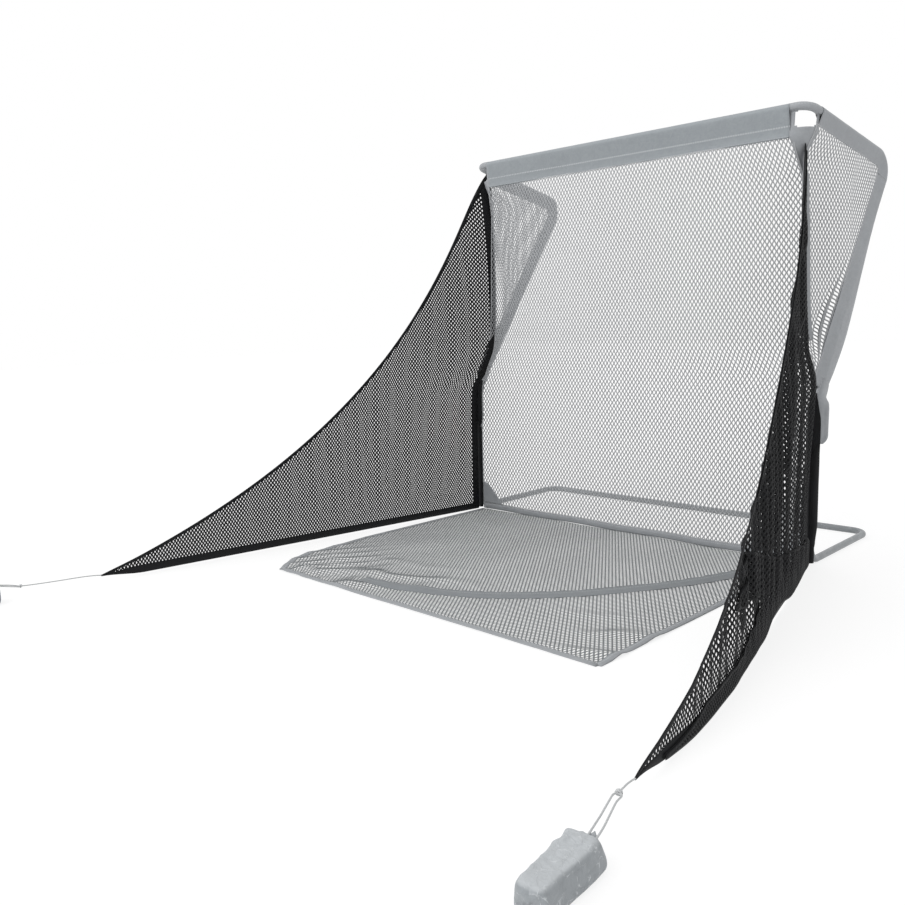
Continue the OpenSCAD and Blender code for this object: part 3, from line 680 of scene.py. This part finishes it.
def knee_centre(side, z):
    """The tube's centre line at a height: up the upright, round the knee and on
    up the diagonal."""
    low = KNEE_CORNER[2] - KNEE_TANGENT
    bend = KNEE_BEND_R * sin(atan(KNEE_LEAN))
    rise = clamp(z - low, 0, bend)
    back = KNEE_BEND_R - sqrt(KNEE_BEND_R ** 2 - rise ** 2)
    return Vector((side * BASE_X, back + max(0, z - low - bend) * KNEE_LEAN, z))


# how far the cuffs hang away below the knee and above it
CUFF_SLACK = {LEFT: (0.018, 0.007), RIGHT: (0.046, 0.047)}


def knee_cuff(side, top):
    """The sleeve's loose lower end: it laps over the sleeve above the knee, opens
    in front and hangs in one flat fold behind the webbing on the upright."""
    low, high = 0.664, top.z + 0.050
    hangs = on(side, HANGS)

    def place(u, v):
        z = mix(low, high, u)
        along = (knee_centre(side, z + 0.002) - knee_centre(side, z - 0.002)).normalized()
        leg = smooth((z - 0.84) / 0.11)
        out = hangs.lerp(Vector((0, 0.809, -0.588)), leg)
        out = (out - along * out.dot(along)).normalized()
        turn = (2 * v - 1) * radians(mix(108, 171, smooth((z - 0.86) / 0.07)))
        rounding = sqrt(1 - (1 - clamp((z - low + 0.006) / 0.05)) ** 2)
        slack = mix(*CUFF_SLACK[side], leg) * rounding
        if side == RIGHT:
            slack += (0.010 * sin(pi * leg ** 3)
                      + 0.012 * exp(-((z - 0.955) / 0.035) ** 2))
        pleat = 0.0016 * sin(turn * 8 + 3 * wobble(z * 6, side, 0))
        r = mix(0.0250 + pleat, 0.0268, leg)
        hang = r * cos(turn) + slack * clamp(cos(turn)) ** 0.7
        return knee_centre(side, z) + out * hang + along.cross(out) * (r * sin(turn))
    return cloth_panel(34, 44, place, high - low, 0.22, 0.0016)


# how far the diagonal sleeves hang away from their tubes, from top to bottom
SLEEVE_SLACK = {LEFT: [(0, 0), (0.6, 0.003), (1, 0.006)],
                RIGHT: [(0, 0), (0.19, 0.004), (0.45, 0.046), (0.60, 0.072), (0.74, 0.084),
                        (0.88, 0.068), (0.98, 0.046), (1, 0.045)]}


def make_side_sleeves(side, material):
    top, rear, knee = (on(side, c) for c in (TOP_CORNER, REAR_CORNER, KNEE_CORNER))
    elbow = tangent_length(ELBOW_R, Vector((-side, 0, 0)), rear - top)
    bend = tangent_length(REAR_BEND_R, top - rear, knee - rear)
    knee_bend = tangent_length(KNEE_BEND_R, rear - knee, Vector((0, 0, -1)))
    roof = (top - rear).length - bend - elbow - STUB
    frames = bend_frames(rear, top, knee, REAR_BEND_R, roof, 0.001)
    bm, length, girth = sleeve_skin(frames, SLEEVE_DROP, SLEEVE_SEAM, 0.002)
    piece = make_piece("roof_sleeve_cloth_" + NAME[side], bm, material,
                       "cage", ["roof_sleeve_" + NAME[side]])
    run = (knee - rear).length - bend - knee_bend
    count = round(run / TUBE_STEP)
    along = (knee - rear).normalized()
    start = rear + along * (bend + 0.002)
    diagonal = [(start + along * (run - 0.002) * i / count, *frames[-1][1:])
                for i in range(count + 1)]
    bm, length, girth = sleeve_skin(diagonal, SLEEVE_DROP, SLEEVE_SEAM, 0.002,
                                    SLEEVE_SLACK[side])
    both = joined([bm, knee_cuff(side, diagonal[-1][0])])
    piece = make_piece("diagonal_sleeve_cloth_" + NAME[side], both, material,
                       "cage", ["diagonal_sleeve_" + NAME[side]])


SEAM_TOP = 2.335
# The seam between impact net, side net and wing, as height: (half width, depth).
# At the knee it passes inside the left sleeve's edge, and outside the right one's.
SEAM_LOW = [(0.03, 1.196, -0.030), (0.60, 1.195, -0.028)]
SEAM_HIGH = [(1.40, 1.103, 0.086), (1.75, 1.093, 0.078), (2.04, 1.086, 0.060),
             (2.20, 1.085, 0.056), (SEAM_TOP, 1.085, 0.052)]
SEAM = {
    LEFT: SEAM_LOW + [(0.885, 1.186, -0.020), (1.00, 1.152, 0.044),
                      (1.15, 1.117, 0.077)] + SEAM_HIGH,
    RIGHT: SEAM_LOW + [(0.885, 1.210, -0.020), (1.00, 1.204, 0.002),
                       (1.07, 1.178, 0.024), (1.15, 1.132, 0.066)] + SEAM_HIGH,
}


def seam_point(side, z):
    x, y = read_off(SEAM[side], z)
    return Vector((side * x, y, z))


def make_corner_hood(side, material):
    """Cloth over the elbow, and the pointed gusset with its window below it."""
    top, rear = on(side, TOP_CORNER), on(side, REAR_CORNER)
    inward = top + Vector((-side, 0, 0))
    frames = bend_frames(top, inward, rear, ELBOW_R, 0.036, STUB + 0.012)
    last = len(frames) - 1
    run = line_length([f[0] for f in frames])

    def over_tube(u, v):
        centre, outward, sideways = frames[round(u * last)]
        turn = tau * v
        r = TUBE_R + 0.0020 + 0.0006 * wobble(u * 5, cos(turn), 2)
        return centre + (outward * cos(turn) + sideways * sin(turn)) * r
    hood = tube_skin(last, 20, over_tube, run, tau * 0.022, wall=0.0010)

    roof_way = (rear - top).normalized()
    tail = Vector((0, roof_way.z, -roof_way.y)).normalized()
    behind = side_surface(side)
    corner = top + roof_way * 0.119 + tail * SLEEVE_LOW
    low_z, high_z = 2.005, top.z - TUBE_R

    def edges(z):
        """The gusset's two edges at a height: by the header, by the roof sleeve."""
        half, depth = read_off(NET_EDGE[side], z)
        up = smooth((z - 2.20) / 0.05)
        inner = Vector((side * mix(half - 0.008, 1.034, up), mix(depth - 0.002, -0.021, up), z))
        if z > corner.z:
            t = (z - corner.z) / (high_z - corner.z)
            outer = corner.lerp(corner - tail * SLEEVE_LOW, t)
        else:
            t = (z - low_z) / (corner.z - low_z)
            outer = behind(mix(read_off(SEAM[side], z)[1] + 0.006, corner.y, t ** 1.5), z)
        return inner, Vector((outer.x, outer.y, z))

    def gusset(u, v):
        centre = frames[round(u * last)][0]
        inner, outer = edges(mix(high_z, low_z, v))
        across = (outer - inner).normalized()
        way = Vector((across.y, -across.x, 0)) * side
        bow = 0.040 * (1 - smooth(v / 0.75)) * sin(pi * u)
        point = inner.lerp(outer, u) + way * bow
        return (centre - Vector((0, 0, TUBE_R))).lerp(point, smooth(v / 0.10))

    def window(u, v):
        return ((u - 0.49) / 0.36) ** 6 + ((v - 0.125) / 0.095) ** 6 < 1
    flap = cloth_panel(last, 44, gusset, run, 0.35, 0.0018, window)
    piece = make_piece("corner_hood_" + NAME[side], joined([hood, flap]), material,
                       "cage", ["corner_cover_" + NAME[side]])


# ---- nets ----

NET_LOW, NET_HIGH = 0.046, 2.240
# Edge of the impact net, as height: (half width, depth). It follows the seam.
EDGE_LOW = [(0.05, 1.176, 0.0), (0.60, 1.174, 0.0)]
EDGE_HIGH = [(1.40, 1.101, 0.084), (1.75, 1.091, 0.076), (2.04, 1.083, 0.050),
             (2.24, 1.050, -0.012)]
NET_EDGE = {
    LEFT: EDGE_LOW + [(0.885, 1.168, 0.006), (1.00, 1.150, 0.035),
                      (1.15, 1.114, 0.076)] + EDGE_HIGH,
    RIGHT: EDGE_LOW + [(0.885, 1.179, -0.008), (1.00, 1.188, 0.010),
                       (1.07, 1.166, 0.030), (1.15, 1.128, 0.068)] + EDGE_HIGH,
}
NET_FLAT = 1.176


def impact_surface(x, z):
    """The impact net: drawn back along its sides, slightly slack in the middle."""
    half, edge_y = read_off(NET_EDGE[RIGHT if x > 0 else LEFT], z)
    u = x / NET_FLAT
    t = clamp((z - NET_LOW) / (NET_HIGH - NET_LOW))
    middle = -0.020 * t + 0.026 * sin(pi * t)
    slack = 0.010 * wobble(x * 1.3, z * 0.9, 3.0) * sin(pi * t)
    y = mix(middle + slack, edge_y, clamp(abs(u)) ** 5)
    return Vector((u * half, y, z))


def make_impact_net(twine, cloth):
    corners = (-NET_FLAT, NET_LOW), (NET_FLAT, NET_HIGH)
    bm = diamond_mesh(*corners)
    trim_box(bm, *corners)
    twist_twine(bm, impact_surface, GREY_TWINE)
    net = make_piece("impact_netting", bm, twine, "cage", ["main_net"])

    def hem_line(u):
        return mix(-NET_FLAT, NET_FLAT, u), 0.0285 + 0.002 * sin(u * 23)
    hem = make_piece("front_hem_cloth", tape(impact_surface, hem_line, 0.043, 0.007, 110),
                     cloth, "cage", ["front_hem"])
    for side in (LEFT, RIGHT):
        make_base_patch(side, cloth)


def make_base_patch(side, cloth):
    """The reinforcing patch on the impact net's bottom corner."""
    width = 0.180
    heights = [(0.0, 0.150), (0.3, 0.130), (0.85, 0.030), (1.0, 0.004)]

    def place(u, v):
        x = side * (NET_FLAT - 0.002 - u * width)
        z = 0.052 + v * read_off(heights, u)[0]
        flat = impact_surface(x, z)
        return flat + Vector((0, -0.0052 - 0.001 * noise.noise(flat * 30), 0))
    bm = cloth_panel(16, 14, place, width, 0.15, 0.0025)
    piece = make_piece("base_gusset_" + NAME[side], bm, cloth, "cage",
                       ["base_patch_" + NAME[side]])


def side_surface(side):
    """The side net: in the plane of its tubes, drawn inwards to the seam."""
    knee, rear, top = (on(side, c) for c in (KNEE_CORNER, REAR_CORNER, TOP_CORNER))
    n = (rear - knee).cross(top - knee).normalized()
    roof_slope = (rear.z - top.z) / (rear.y - top.y)
    roof_edge = top.z - SLEEVE_LOW
    back = (rear - knee).normalized()

    def plane_x(y, z):
        return knee.x - (n.y * (y - knee.y) + n.z * (z - knee.z)) / n.x

    def surface(y, z):
        seam = seam_point(side, z)
        pull = (1 - smooth((y - seam.y) / 0.42)) * smooth((z - 1.02) / 0.25)
        below_roof = roof_edge + (y - top.y) * roof_slope - z
        above_tail = (y - knee.y) * back.z - (z - knee.z) * back.y
        pull *= smooth(below_roof / 0.16) * smooth((-above_tail - 0.06) / 0.05)
        ripple = 0.004 * wobble(y * 4, z * 3, 9)
        drawn = (seam.x - plane_x(seam.y, z)) * pull
        return Vector((plane_x(y, z) + drawn + ripple, y, z))
    return surface


def offset_line(a, b, by):
    """The line from a to b moved to its left."""
    d = Vector((b[0] - a[0], b[1] - a[1])).normalized()
    shift = Vector((-d.y, d.x)) * by
    return (a[0] + shift.x, a[1] + shift.y), (b[0] + shift.x, b[1] + shift.y)


def crossing(a, b, c, d):
    """Where the line a to b meets the line c to d."""
    p, q = Vector(b) - Vector(a), Vector(d) - Vector(c)
    t = ((c[0] - a[0]) * q.y - (c[1] - a[1]) * q.x) / (p.x * q.y - p.y * q.x)
    return a[0] + p.x * t, a[1] + p.y * t


def make_side_net(side, twine, cloth):
    knee, rear, top = (c[1:] for c in (KNEE_CORNER, REAR_CORNER, TOP_CORNER))
    roof = offset_line(rear, top, NET_DROP)
    diagonal = offset_line(knee, rear, NET_DROP)
    front = ((0.034, 1.053) if side == LEFT else (0.0, 1.004), (0.056, 2.3))
    low = crossing(*front, *diagonal)
    high = crossing(*front, *roof)
    cut_off = 0.1586  # the net's rear corner is cut off where the tube bends
    corner = Vector(rear)
    down, ahead = ((Vector(end) - corner).normalized() for end in (knee, top))
    a = offset_line(corner + down * cut_off, corner, NET_DROP)[0]
    b = offset_line(corner + ahead * cut_off, Vector(top), NET_DROP)[0]
    outline = [low, a, b, high]
    ys, zs = zip(*outline)
    bm = diamond_mesh((min(ys), min(zs)), (max(ys), max(zs)))
    trim(bm, outline)
    twist_twine(bm, side_surface(side), SIDE_TWINE[side])
    net = make_piece("side_netting_" + NAME[side], bm, twine, "cage",
                     ["side_net_" + NAME[side]])

    def by_seam(z, across):
        return seam_point(side, z) + Vector((side * across * 0.5, across, 0))
    bound = tape(by_seam, straight((1.20, 0.012), (2.06, 0.012)), 0.030, 0.004, 60)
    binding = make_piece("seam_binding_" + NAME[side], bound, cloth, "cage")


# ---- floor net ----

FLOOR_X, FLOOR_Y = 1.165, -1.895
FLOOR_OUTLINE = [(-FLOOR_X + 0.150, FLOOR_Y), (FLOOR_X, FLOOR_Y), (FLOOR_X + 0.012, 0.008),
                 (-FLOOR_X - 0.022, 0.008), (-FLOOR_X - 0.045, -1.100),
                 (-FLOOR_X, FLOOR_Y + 0.210)]


def ridged(place, apart, sharp):
    """Ridges from 0 to 1 that lie that far apart."""
    return (0.5 + 0.5 * sin(tau * place / apart)) ** sharp


def floor_surface(x, y):
    """The floor net: flat by the cage, rucked up in front of the band and bunched
    in its left front corner."""
    ahead = smooth((-y - 1.15) / 0.6)
    along = x * 0.92 + y * 0.38 + 0.16 * wobble(x * 1.7, y * 1.7, 5)
    across = x * -0.35 + y * 0.94 + 0.16 * wobble(x * 2.1, y * 2.1, 1)
    ridges, ruck = ridged(across, 0.23, 3), ridged(along, 0.41, 4)
    patchy = clamp(0.5 + 1.6 * wobble(x * 1.3, y * 2.0, 8))
    edge = smooth((y - FLOOR_Y) / 0.10)
    corner = exp(-((x + 0.95) ** 2 + (y + 1.62) ** 2) / 0.07)
    bunch = ridged(x - y * 0.6, 0.13, 2)
    creep = 0.004 * clamp(wobble(x * 2.5, y * 2.5, 0) + 0.3)
    rise = ahead * patchy * (0.013 * ridges * edge + 0.007 * ruck * mix(0.35, 1, edge))
    rise += corner * 0.011 * bunch + creep
    return Vector((x, y, 0.0034 + rise))


def inset_floor(by, rear):
    """The floor net's outline drawn in by a width, and its rear edge set at a y."""
    ends = zip(FLOOR_OUTLINE, FLOOR_OUTLINE[1:] + FLOOR_OUTLINE[:1])
    lines = [offset_line(a, b, by) for a, b in ends]
    corners = [crossing(*lines[i - 1], *lines[i]) for i in range(len(lines))]
    return [(x, rear if y > -0.1 else y) for x, y in corners]


def make_floor_net(twine, cloth, dark_cloth):
    bm = diamond_mesh((-FLOOR_X - 0.02, FLOOR_Y), (FLOOR_X, 0.0), FLOOR_CELL)
    trim(bm, inset_floor(0.036, 0.0))
    twist_twine(bm, floor_surface, FLOOR_TWINE)
    net = make_piece("floor_netting", bm, twine, "cage", ["floor_net"])
    edge = inset_floor(0.020, -0.012)
    edge = edge[3:] + edge[:3]
    hems = [tape(floor_surface, straight(a, b), 0.038, 0.006,
                 max(6, round(dist(a, b) / 0.035)))
            for a, b in zip(edge, edge[1:])]
    hem = make_piece("floor_hem_cloth", joined(hems), cloth, "cage",
                     ["floor_hem"])

    def band_line(u):
        a, b, c = (-0.480, -1.730), (0.620, -1.640), (1.080, -0.140)
        return tuple((1 - u) ** 2 * a[i] + 2 * u * (1 - u) * b[i] + u * u * c[i]
                     for i in (0, 1))
    band = make_piece("floor_band_cloth",
                      tape(floor_surface, band_line, 0.110, 0.002, 90, 12, lift=0.0026),
                      dark_cloth, "cage", ["floor_band"])


# ---- wings ----

REACH = {LEFT: 2.650, RIGHT: 2.600}
SPLAY = {LEFT: radians(8.9), RIGHT: radians(12.5)}
WING_TOP = {LEFT: 2.335, RIGHT: 2.205}
FOLD_DEPTH = {LEFT: 0.008, RIGHT: 0.017}
# how far the net swings outwards, at distances from the cage
BOW = {LEFT: [(0, 0), (2.7, 0)],
       RIGHT: [(0, 0), (0.4, 0.020), (0.9, 0.030), (1.3, 0.047), (1.8, 0.060),
               (2.2, 0.048), (2.45, 0.018), (2.6, 0)]}
WING_FOOT_Y, WING_LOW = -0.026, 0.008
WING_RISE, TIP_RISE, WING_LEAN = 2.290, 0.026, 0.057


def lead_height(side, a):
    """Height of a wing's leading edge at a distance from the cage."""
    share = clamp(a / REACH[side])
    t = (sqrt(0.51 ** 2 + 1.96 * share) - 0.51) / 0.98
    rise = ((1 - t) ** 2 * WING_RISE + 2 * t * (1 - t) * 0.29 * WING_RISE
            + t * t * TIP_RISE)
    return WING_LOW + rise + (WING_TOP[side] - WING_RISE - WING_LOW) * (1 - t) ** 8


def lead_reach(side, z):
    """Distance of the leading edge from the cage at a height."""
    low, high = 0.0, REACH[side]
    for _ in range(24):
        middle = (low + high) / 2
        if lead_height(side, middle) > z:
            low = middle
        else:
            high = middle
    return low


def wing_surface(side):
    """A wing: a raked plane from the seam to the leading edge, with its folds."""
    across, forward = sin(SPLAY[side]), cos(SPLAY[side])
    ahead = Vector((side * across, -forward, 0))
    outward = Vector((side * forward, across, 0))
    reaches = [(i * 0.02, lead_reach(side, i * 0.02)) for i in range(120)]

    def surface(a, z):
        reach = read_off(reaches, z)[0]
        share = clamp((z - WING_LOW) / WING_RISE)
        root = Vector((side * (BASE_X - WING_LEAN * share), WING_FOOT_Y, z))
        near = (1 - clamp(a / (reach + 0.08))) ** 2
        point = root + ahead * a + (seam_point(side, z) - root) * near
        free = smooth(a / 0.12) * smooth((z - 0.02) / 0.25) * smooth((reach - a) / 0.10)
        drift = wobble(a * 1.1, z * 0.5, 4)
        fold = (0.7 * sin(tau * (a / 0.21 + 0.9 * drift + 0.2 * z))
                + 0.5 * sin(tau * (a / 0.083 + 1.6 * drift - 0.12 * z))
                + 0.8 * wobble(a * 9, z * 0.8, 2))
        bow = read_off(BOW[side], a)[0]
        return point + outward * (fold * FOLD_DEPTH[side] * free + bow)
    return surface


HEM_LEAD, HEM_LOW, HEM_INNER, HEM_TIP = 0.019, 0.046, 0.052, 0.009
# where the right wing's net lies double, as rows of (distance, from, to): folded
# up from the floor, and gathered towards the leading edge
FOOT_FOLD = [(-0.034, .024, .09), (0.0, .012, .14), (0.11, .012, .179),
             (0.26, .012, .178), (0.58, .012, .225), (0.82, .045, .253),
             (1.00, .040, .262), (1.18, .012, .235), (1.31, .012, .195),
             (1.43, .012, .130), (1.55, .012, .097), (1.71, .012, .077),
             (2.08, .012, .070), (2.28, .016, .036), (2.42, .024, .028)]
SLANT_FOLD = [(0.80, .19, .25), (1.00, .20, .30), (1.18, .205, .350), (1.37, .239, .405),
              (1.50, .258, .440), (1.60, .274, .388), (1.75, .300, .306)]
INNER_ABOVE = {LEFT: 0.036, RIGHT: 0.060}  # the inner hem's width above the knee


def inner_width(side, z):
    """Width of the hem beside the cage, never wider than the wing is there."""
    above = mix(0.036, INNER_ABOVE[side], smooth((z - 1.10) / 0.20))
    wide = mix(HEM_INNER, above, smooth((z - 1.02) / 0.16))
    return min(wide, max(0.010, 0.8 * lead_reach(side, z)))


def make_wing(side, twine, webbing):
    reach, height = REACH[side], WING_TOP[side]
    surface = wing_surface(side)
    bm = diamond_mesh((0.0, 0.0), (reach, height), BLACK_CELL)
    trim_box(bm, (0.008, WING_LOW + HEM_LOW * 0.6), (reach, 3.0))
    trim_between(bm, lambda a: (0.0, lead_height(side, a) - 0.008))
    twist_twine(bm, surface, BLACK_TWINE[side])
    net = make_piece("wing_netting_" + NAME[side], bm, twine,
                     stands_for=["wing_net_" + NAME[side]])

    def to_tip(a):
        return smooth((a - reach + 0.24) / 0.24)

    def lead_line(u):
        a = reach * u ** 1.6
        inset = HEM_LEAD / 2 * smooth(u * 12) * (1 - to_tip(a))
        return a, lead_height(side, a) - inset

    def low_line(u):
        a = mix(0.004, reach, u)
        return a, mix(WING_LOW + HEM_LOW / 2, WING_LOW + TIP_RISE, to_tip(a))

    def inner_line(u):
        z = mix(0.012, height - 0.03, u)
        return inner_width(side, z) / 2, z
    strips = [
        tape(surface, line, width, 0.007, rings) for line, width, rings in (
            (lead_line, lambda u: mix(HEM_LEAD, HEM_TIP, to_tip(reach * u ** 1.6)), 130),
            (low_line, lambda u: mix(HEM_LOW, HEM_TIP, to_tip(reach * u)), 100),
            (inner_line, lambda u: inner_width(side, inner_line(u)[1]), 110))]
    hem = make_piece("wing_webbing_" + NAME[side], joined(strips), webbing,
                     stands_for=["wing_hem_" + NAME[side]])
    dressed = [hem]
    if side == RIGHT:
        dressed.append(make_wing_folds(side, surface, twine))
    for piece in [net] + dressed:
        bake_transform(piece)
    make_strap(side, webbing)


def make_wing_folds(side, surface, twine):
    """The second layer of net, with its cells between those of the first one."""
    gathered = []
    for i in range(25):
        a = 0.012 + i * 0.055
        high = lead_height(side, a) - 0.010
        low = max(lead_height(side, a / 0.55), 0.165 + 0.19 * a)
        gathered.append((a, min(high - 0.004, low), high))
    layers = []
    for rows, lift in ((FOOT_FOLD, 0.006), (FOOT_FOLD, 0.011), (SLANT_FOLD, 0.006),
                       (SLANT_FOLD, 0.011), (gathered, 0.006)):
        start, end = rows[0][0], rows[-1][0]
        bm = diamond_mesh((start, 0.0), (end, max(row[2] for row in rows)), BLACK_CELL)
        bmesh.ops.translate(bm, verts=bm.verts, vec=(lift * 1.1, lift * 0.7, 0))
        trim_box(bm, (start, -1.0), (end, 4.0))
        trim_between(bm, lambda a: read_off(rows, a))

        def lifted(a, z):
            flutter = 0.003 * wobble(a * 7, z * 5, lift * 300)
            return surface(a, z) + Vector((side * (lift + flutter), 0, 0))
        layers.append(twist_twine(bm, lifted, FOLD_TWINE))
    return make_piece("wing_folds_" + NAME[side], joined(layers), twine)


def make_strap(side, webbing):
    """Webbing wound loosely round the upright and sewn to the wing's inner hem. It
    runs in front of the sleeve's loose end, and in front of the bend at the foot."""
    low, high = 0.016, 0.930
    outer = Vector((side * 0.93, 0.37, 0))
    hangs = Vector((side * HANGS[0], HANGS[1], 0)).normalized()
    free_edge = [(0.66, 0.027), (0.80, 0.026), (0.885, 0.008), (0.930, -0.006)]

    def heading(degrees):
        turn = radians(degrees)
        return Vector((side * cos(turn), sin(turn), 0))

    def place(u, v):
        z = mix(low, high, u)
        closed = smooth((z - 0.100) / 0.035)
        way = heading(mix(mix(-172, -325, closed), mix(-8, 35, closed), v))
        loose = smooth((z - 0.112) / 0.12) * smooth((0.70 - z) / 0.10)
        r = 0.0207 + 0.0012 * v + 0.009 * loose * clamp(way.dot(outer)) ** 2
        r += 0.0016 * loose * wobble(z * 7, way.x * 2, way.y * 2)
        wound = way * r
        edge, round_it = read_off(free_edge, z)[0], 0.030
        leaves = -55.2 + min(0.0, edge) / round_it * 57.3  # in degrees
        spread = heading(mix(-215, leaves, min(1, v / 0.6))) * round_it
        if v >= 0.6:
            spread += hangs * (max(0.0, edge) * (v - 0.6) / 0.4)
        spread.y *= mix(1, 1.25, smooth((z - 0.84) / 0.10))
        return knee_centre(side, z) + wound.lerp(spread, smooth((z - 0.57) / 0.090))
    strap = make_piece("upright_webbing_" + NAME[side],
                       cloth_panel(96, 44, place, high - low, 0.16, 0.0012), webbing,
                       stands_for=["wing_straps_" + NAME[side]])
    # its top is caught between the sleeve and the hem, so a swing twists it
    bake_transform(strap)


# ---- weight bags ----

BAG_W, BAG_L, BAG_H = 0.112, 0.266, 0.104


def make_bag(side, material):
    """A slumped sack on its flat side: wrinkled on top, flat at its flanks and
    closed by the drawcord at the upper edge of its far end."""
    loop = DRAWCORD[side]
    neck = (Vector(loop[0]) + Vector(loop[-1])) / 2
    middle = Vector((neck.x - side * 0.008, neck.y - BAG_L / 2, 0))
    turned = Matrix.Rotation(side * radians(8), 3, "Z")
    mouth = Vector((side * 0.018, 0.089))

    def place(u, v):
        turn = tau * v
        x, z = (copysign(abs(c) ** 0.40, c) for c in (cos(turn), sin(turn)))
        starts = pi / 2 * clamp(u / 0.16)
        ends = pi / 2 * clamp((u - 0.80) / 0.20)
        near, far = sin(starts) ** 0.55, cos(ends) ** 0.60
        y = (mix(0.034 * (1 - cos(starts) ** 0.55), BAG_L - 0.030,
                 clamp((u - 0.16) / 0.64)) + 0.030 * sin(ends) ** 0.60)
        up, shut = (z + 1) / 2, 1 - far
        y += ((1 - clamp(u / 0.5)) * 0.014 * (1 - up)
              + smooth((u - 0.5) / 0.35) * 0.032 * (1 - up))
        half_w = BAG_W / 2 - 0.014 * up
        half_w += 0.011 * smooth((u - 0.35) / 0.4) * clamp(side * x)
        point = Vector((mix(0, mouth.x, shut) + x * half_w * near * far, y - BAG_L / 2,
                        mix(BAG_H / 2, mouth.y, shut) + z * (BAG_H / 2) * near * far))
        # folds drawn to the mouth, then shallow creases all over
        spoke = atan2(point.x - mouth.x, BAG_L / 2 - point.y + 0.02)
        span = Vector((point.x - mouth.x, BAG_L / 2 - point.y)).length
        bend = 1.6 * wobble(point.x * 11, point.y * 11, 3)
        folds = 1 - abs(sin(spoke * 5.0 + bend)) ** 0.75
        folds *= smooth(span / 0.03) * (1 - smooth((span - 0.07) / 0.14))
        folds *= smooth((side * (mouth.x - point.x) + 0.014) / 0.020)
        drag = 1 - abs(wobble(point.x * 22 + point.y * 6, point.y * 15, 4)) * 2
        crumple = noise.noise(point * 26) + 0.5 * noise.noise(point * 58)
        loose = mix(0.16, 1.0, smooth((point.z - 0.068) / 0.03)) * near
        out = loose * (0.0065 * folds + 0.0022 * max(0.0, drag) ** 2
                       + 0.0011 * crumple - 0.002)
        point += Vector((x, 0, z)).normalized() * out
        sag = 0.012 * sin(pi * clamp(u)) * up * (1 - abs(x) ** 3) * near * far
        point.z = max(point.z - sag, 0.0015)
        return middle + turned @ point
    bm = tube_skin(130, 96, place, BAG_L, 0.40)
    bag = make_piece("weight_sack_" + NAME[side], bm, material,
                     NAME[side] + "_wing", ["weight_bag_" + NAME[side]])


# ---- stage ----

def seen_directly(tree):
    """One for what the camera sees, straight, in a shine or through a piece."""
    rays = add(tree, "LightPath").outputs
    direct = maths(tree, "ADD", rays["Is Camera Ray"], rays["Is Glossy Ray"])
    return maths(tree, "ADD", direct, rays["Is Transmission Ray"], use_clamp=True)


def set_stage():
    """A white floor that keeps the shadow, a white backdrop and soft light."""
    scene = bpy.context.scene
    scene.view_settings.view_transform = "Standard"
    scene.world = bpy.data.worlds.new("studio")
    scene.world.use_nodes = True
    tree = scene.world.node_tree
    tree.nodes.clear()
    light, white = (add(tree, "Background", {"Color": paint("#ffffff"), "Strength": power})
                    for power in (0.72, 1.0))
    both = add(tree, "MixShader", {0: seen_directly(tree), 1: light.outputs[0],
                                   2: white.outputs[0]})
    add(tree, "OutputWorld", {"Surface": both.outputs[0]})

    material, tree = start_material("painted_studio_floor")
    matte = add(tree, "BsdfDiffuse", {"Color": paint("#f4f4f4")})
    glow = add(tree, "Emission", {"Color": paint("#ffffff"), "Strength": 1.11})
    close_material(tree, add(tree, "MixShader", {
        0: maths(tree, "MULTIPLY", seen_directly(tree), 0.72),
        1: matte.outputs[0], 2: glow.outputs[0]}))
    bm = bmesh.new()
    bmesh.ops.create_grid(bm, x_segments=4, y_segments=4, size=30)
    new_object("studio_floor", bm, material)

    for name, strength, turn in (("key", 1.05, (48, 0, -12)), ("fill", 0.34, (58, 0, -62))):
        lamp = bpy.data.lights.new(name, "SUN")
        lamp.energy = strength
        lamp.angle = radians(40)
        obj = bpy.data.objects.new(name, lamp)
        obj.rotation_euler = [radians(a) for a in turn]
        scene.collection.objects.link(obj)


# ---- the whole net ----

place_camera()
make_cords(braided_cord())

coated = powder_coated_steel()
plated = zinc_plated_steel()
for name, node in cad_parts.items():
    finish = plated if "button" in name else coated
    if not node.data.materials:
        node.data.materials.append(finish)
    for held in node.material_slots:
        held.material = finish

header_cloth = oxford_cloth("polyester_oxford_woven", "#999fa3", "#a6abaf")
sleeve_cloth = oxford_cloth("polyester_oxford_woven_faded", "#9fa2a6", "#b0b3b6",
                            rows=(0.006, 0.015))
band_cloth = oxford_cloth("polyester_oxford_woven_worn", "#858a8e", "#95999c")
grey_twine = knotless_twine("polyester_twine_braided_grey", "#b3b5b8", "#c3c5c7", 0.1)
# painted shade: the floor net's twine is a darker copy of the grey twine, for the shade where
# it lies on the floor
floor_twine = knotless_twine("polyester_twine_braided_grey_painted_shade", "#868a8c", "#969a9c", 0.1)
black_twine = knotless_twine("polyester_twine_braided_black", "#0c0d0f", "#17181b", 0.02)
webbing = ribbed_webbing()

make_header(header_cloth)
for side in (LEFT, RIGHT):
    make_side_sleeves(side, sleeve_cloth)
    make_corner_hood(side, sleeve_cloth)
make_impact_net(grey_twine, sleeve_cloth)
for side in (LEFT, RIGHT):
    make_side_net(side, grey_twine, sleeve_cloth)
make_floor_net(floor_twine, sleeve_cloth, band_cloth)
sack_cloth = ripstop_nylon()
for side in (LEFT, RIGHT):
    make_wing(side, black_twine, webbing)
    make_bag(side, sack_cloth)
set_stage()
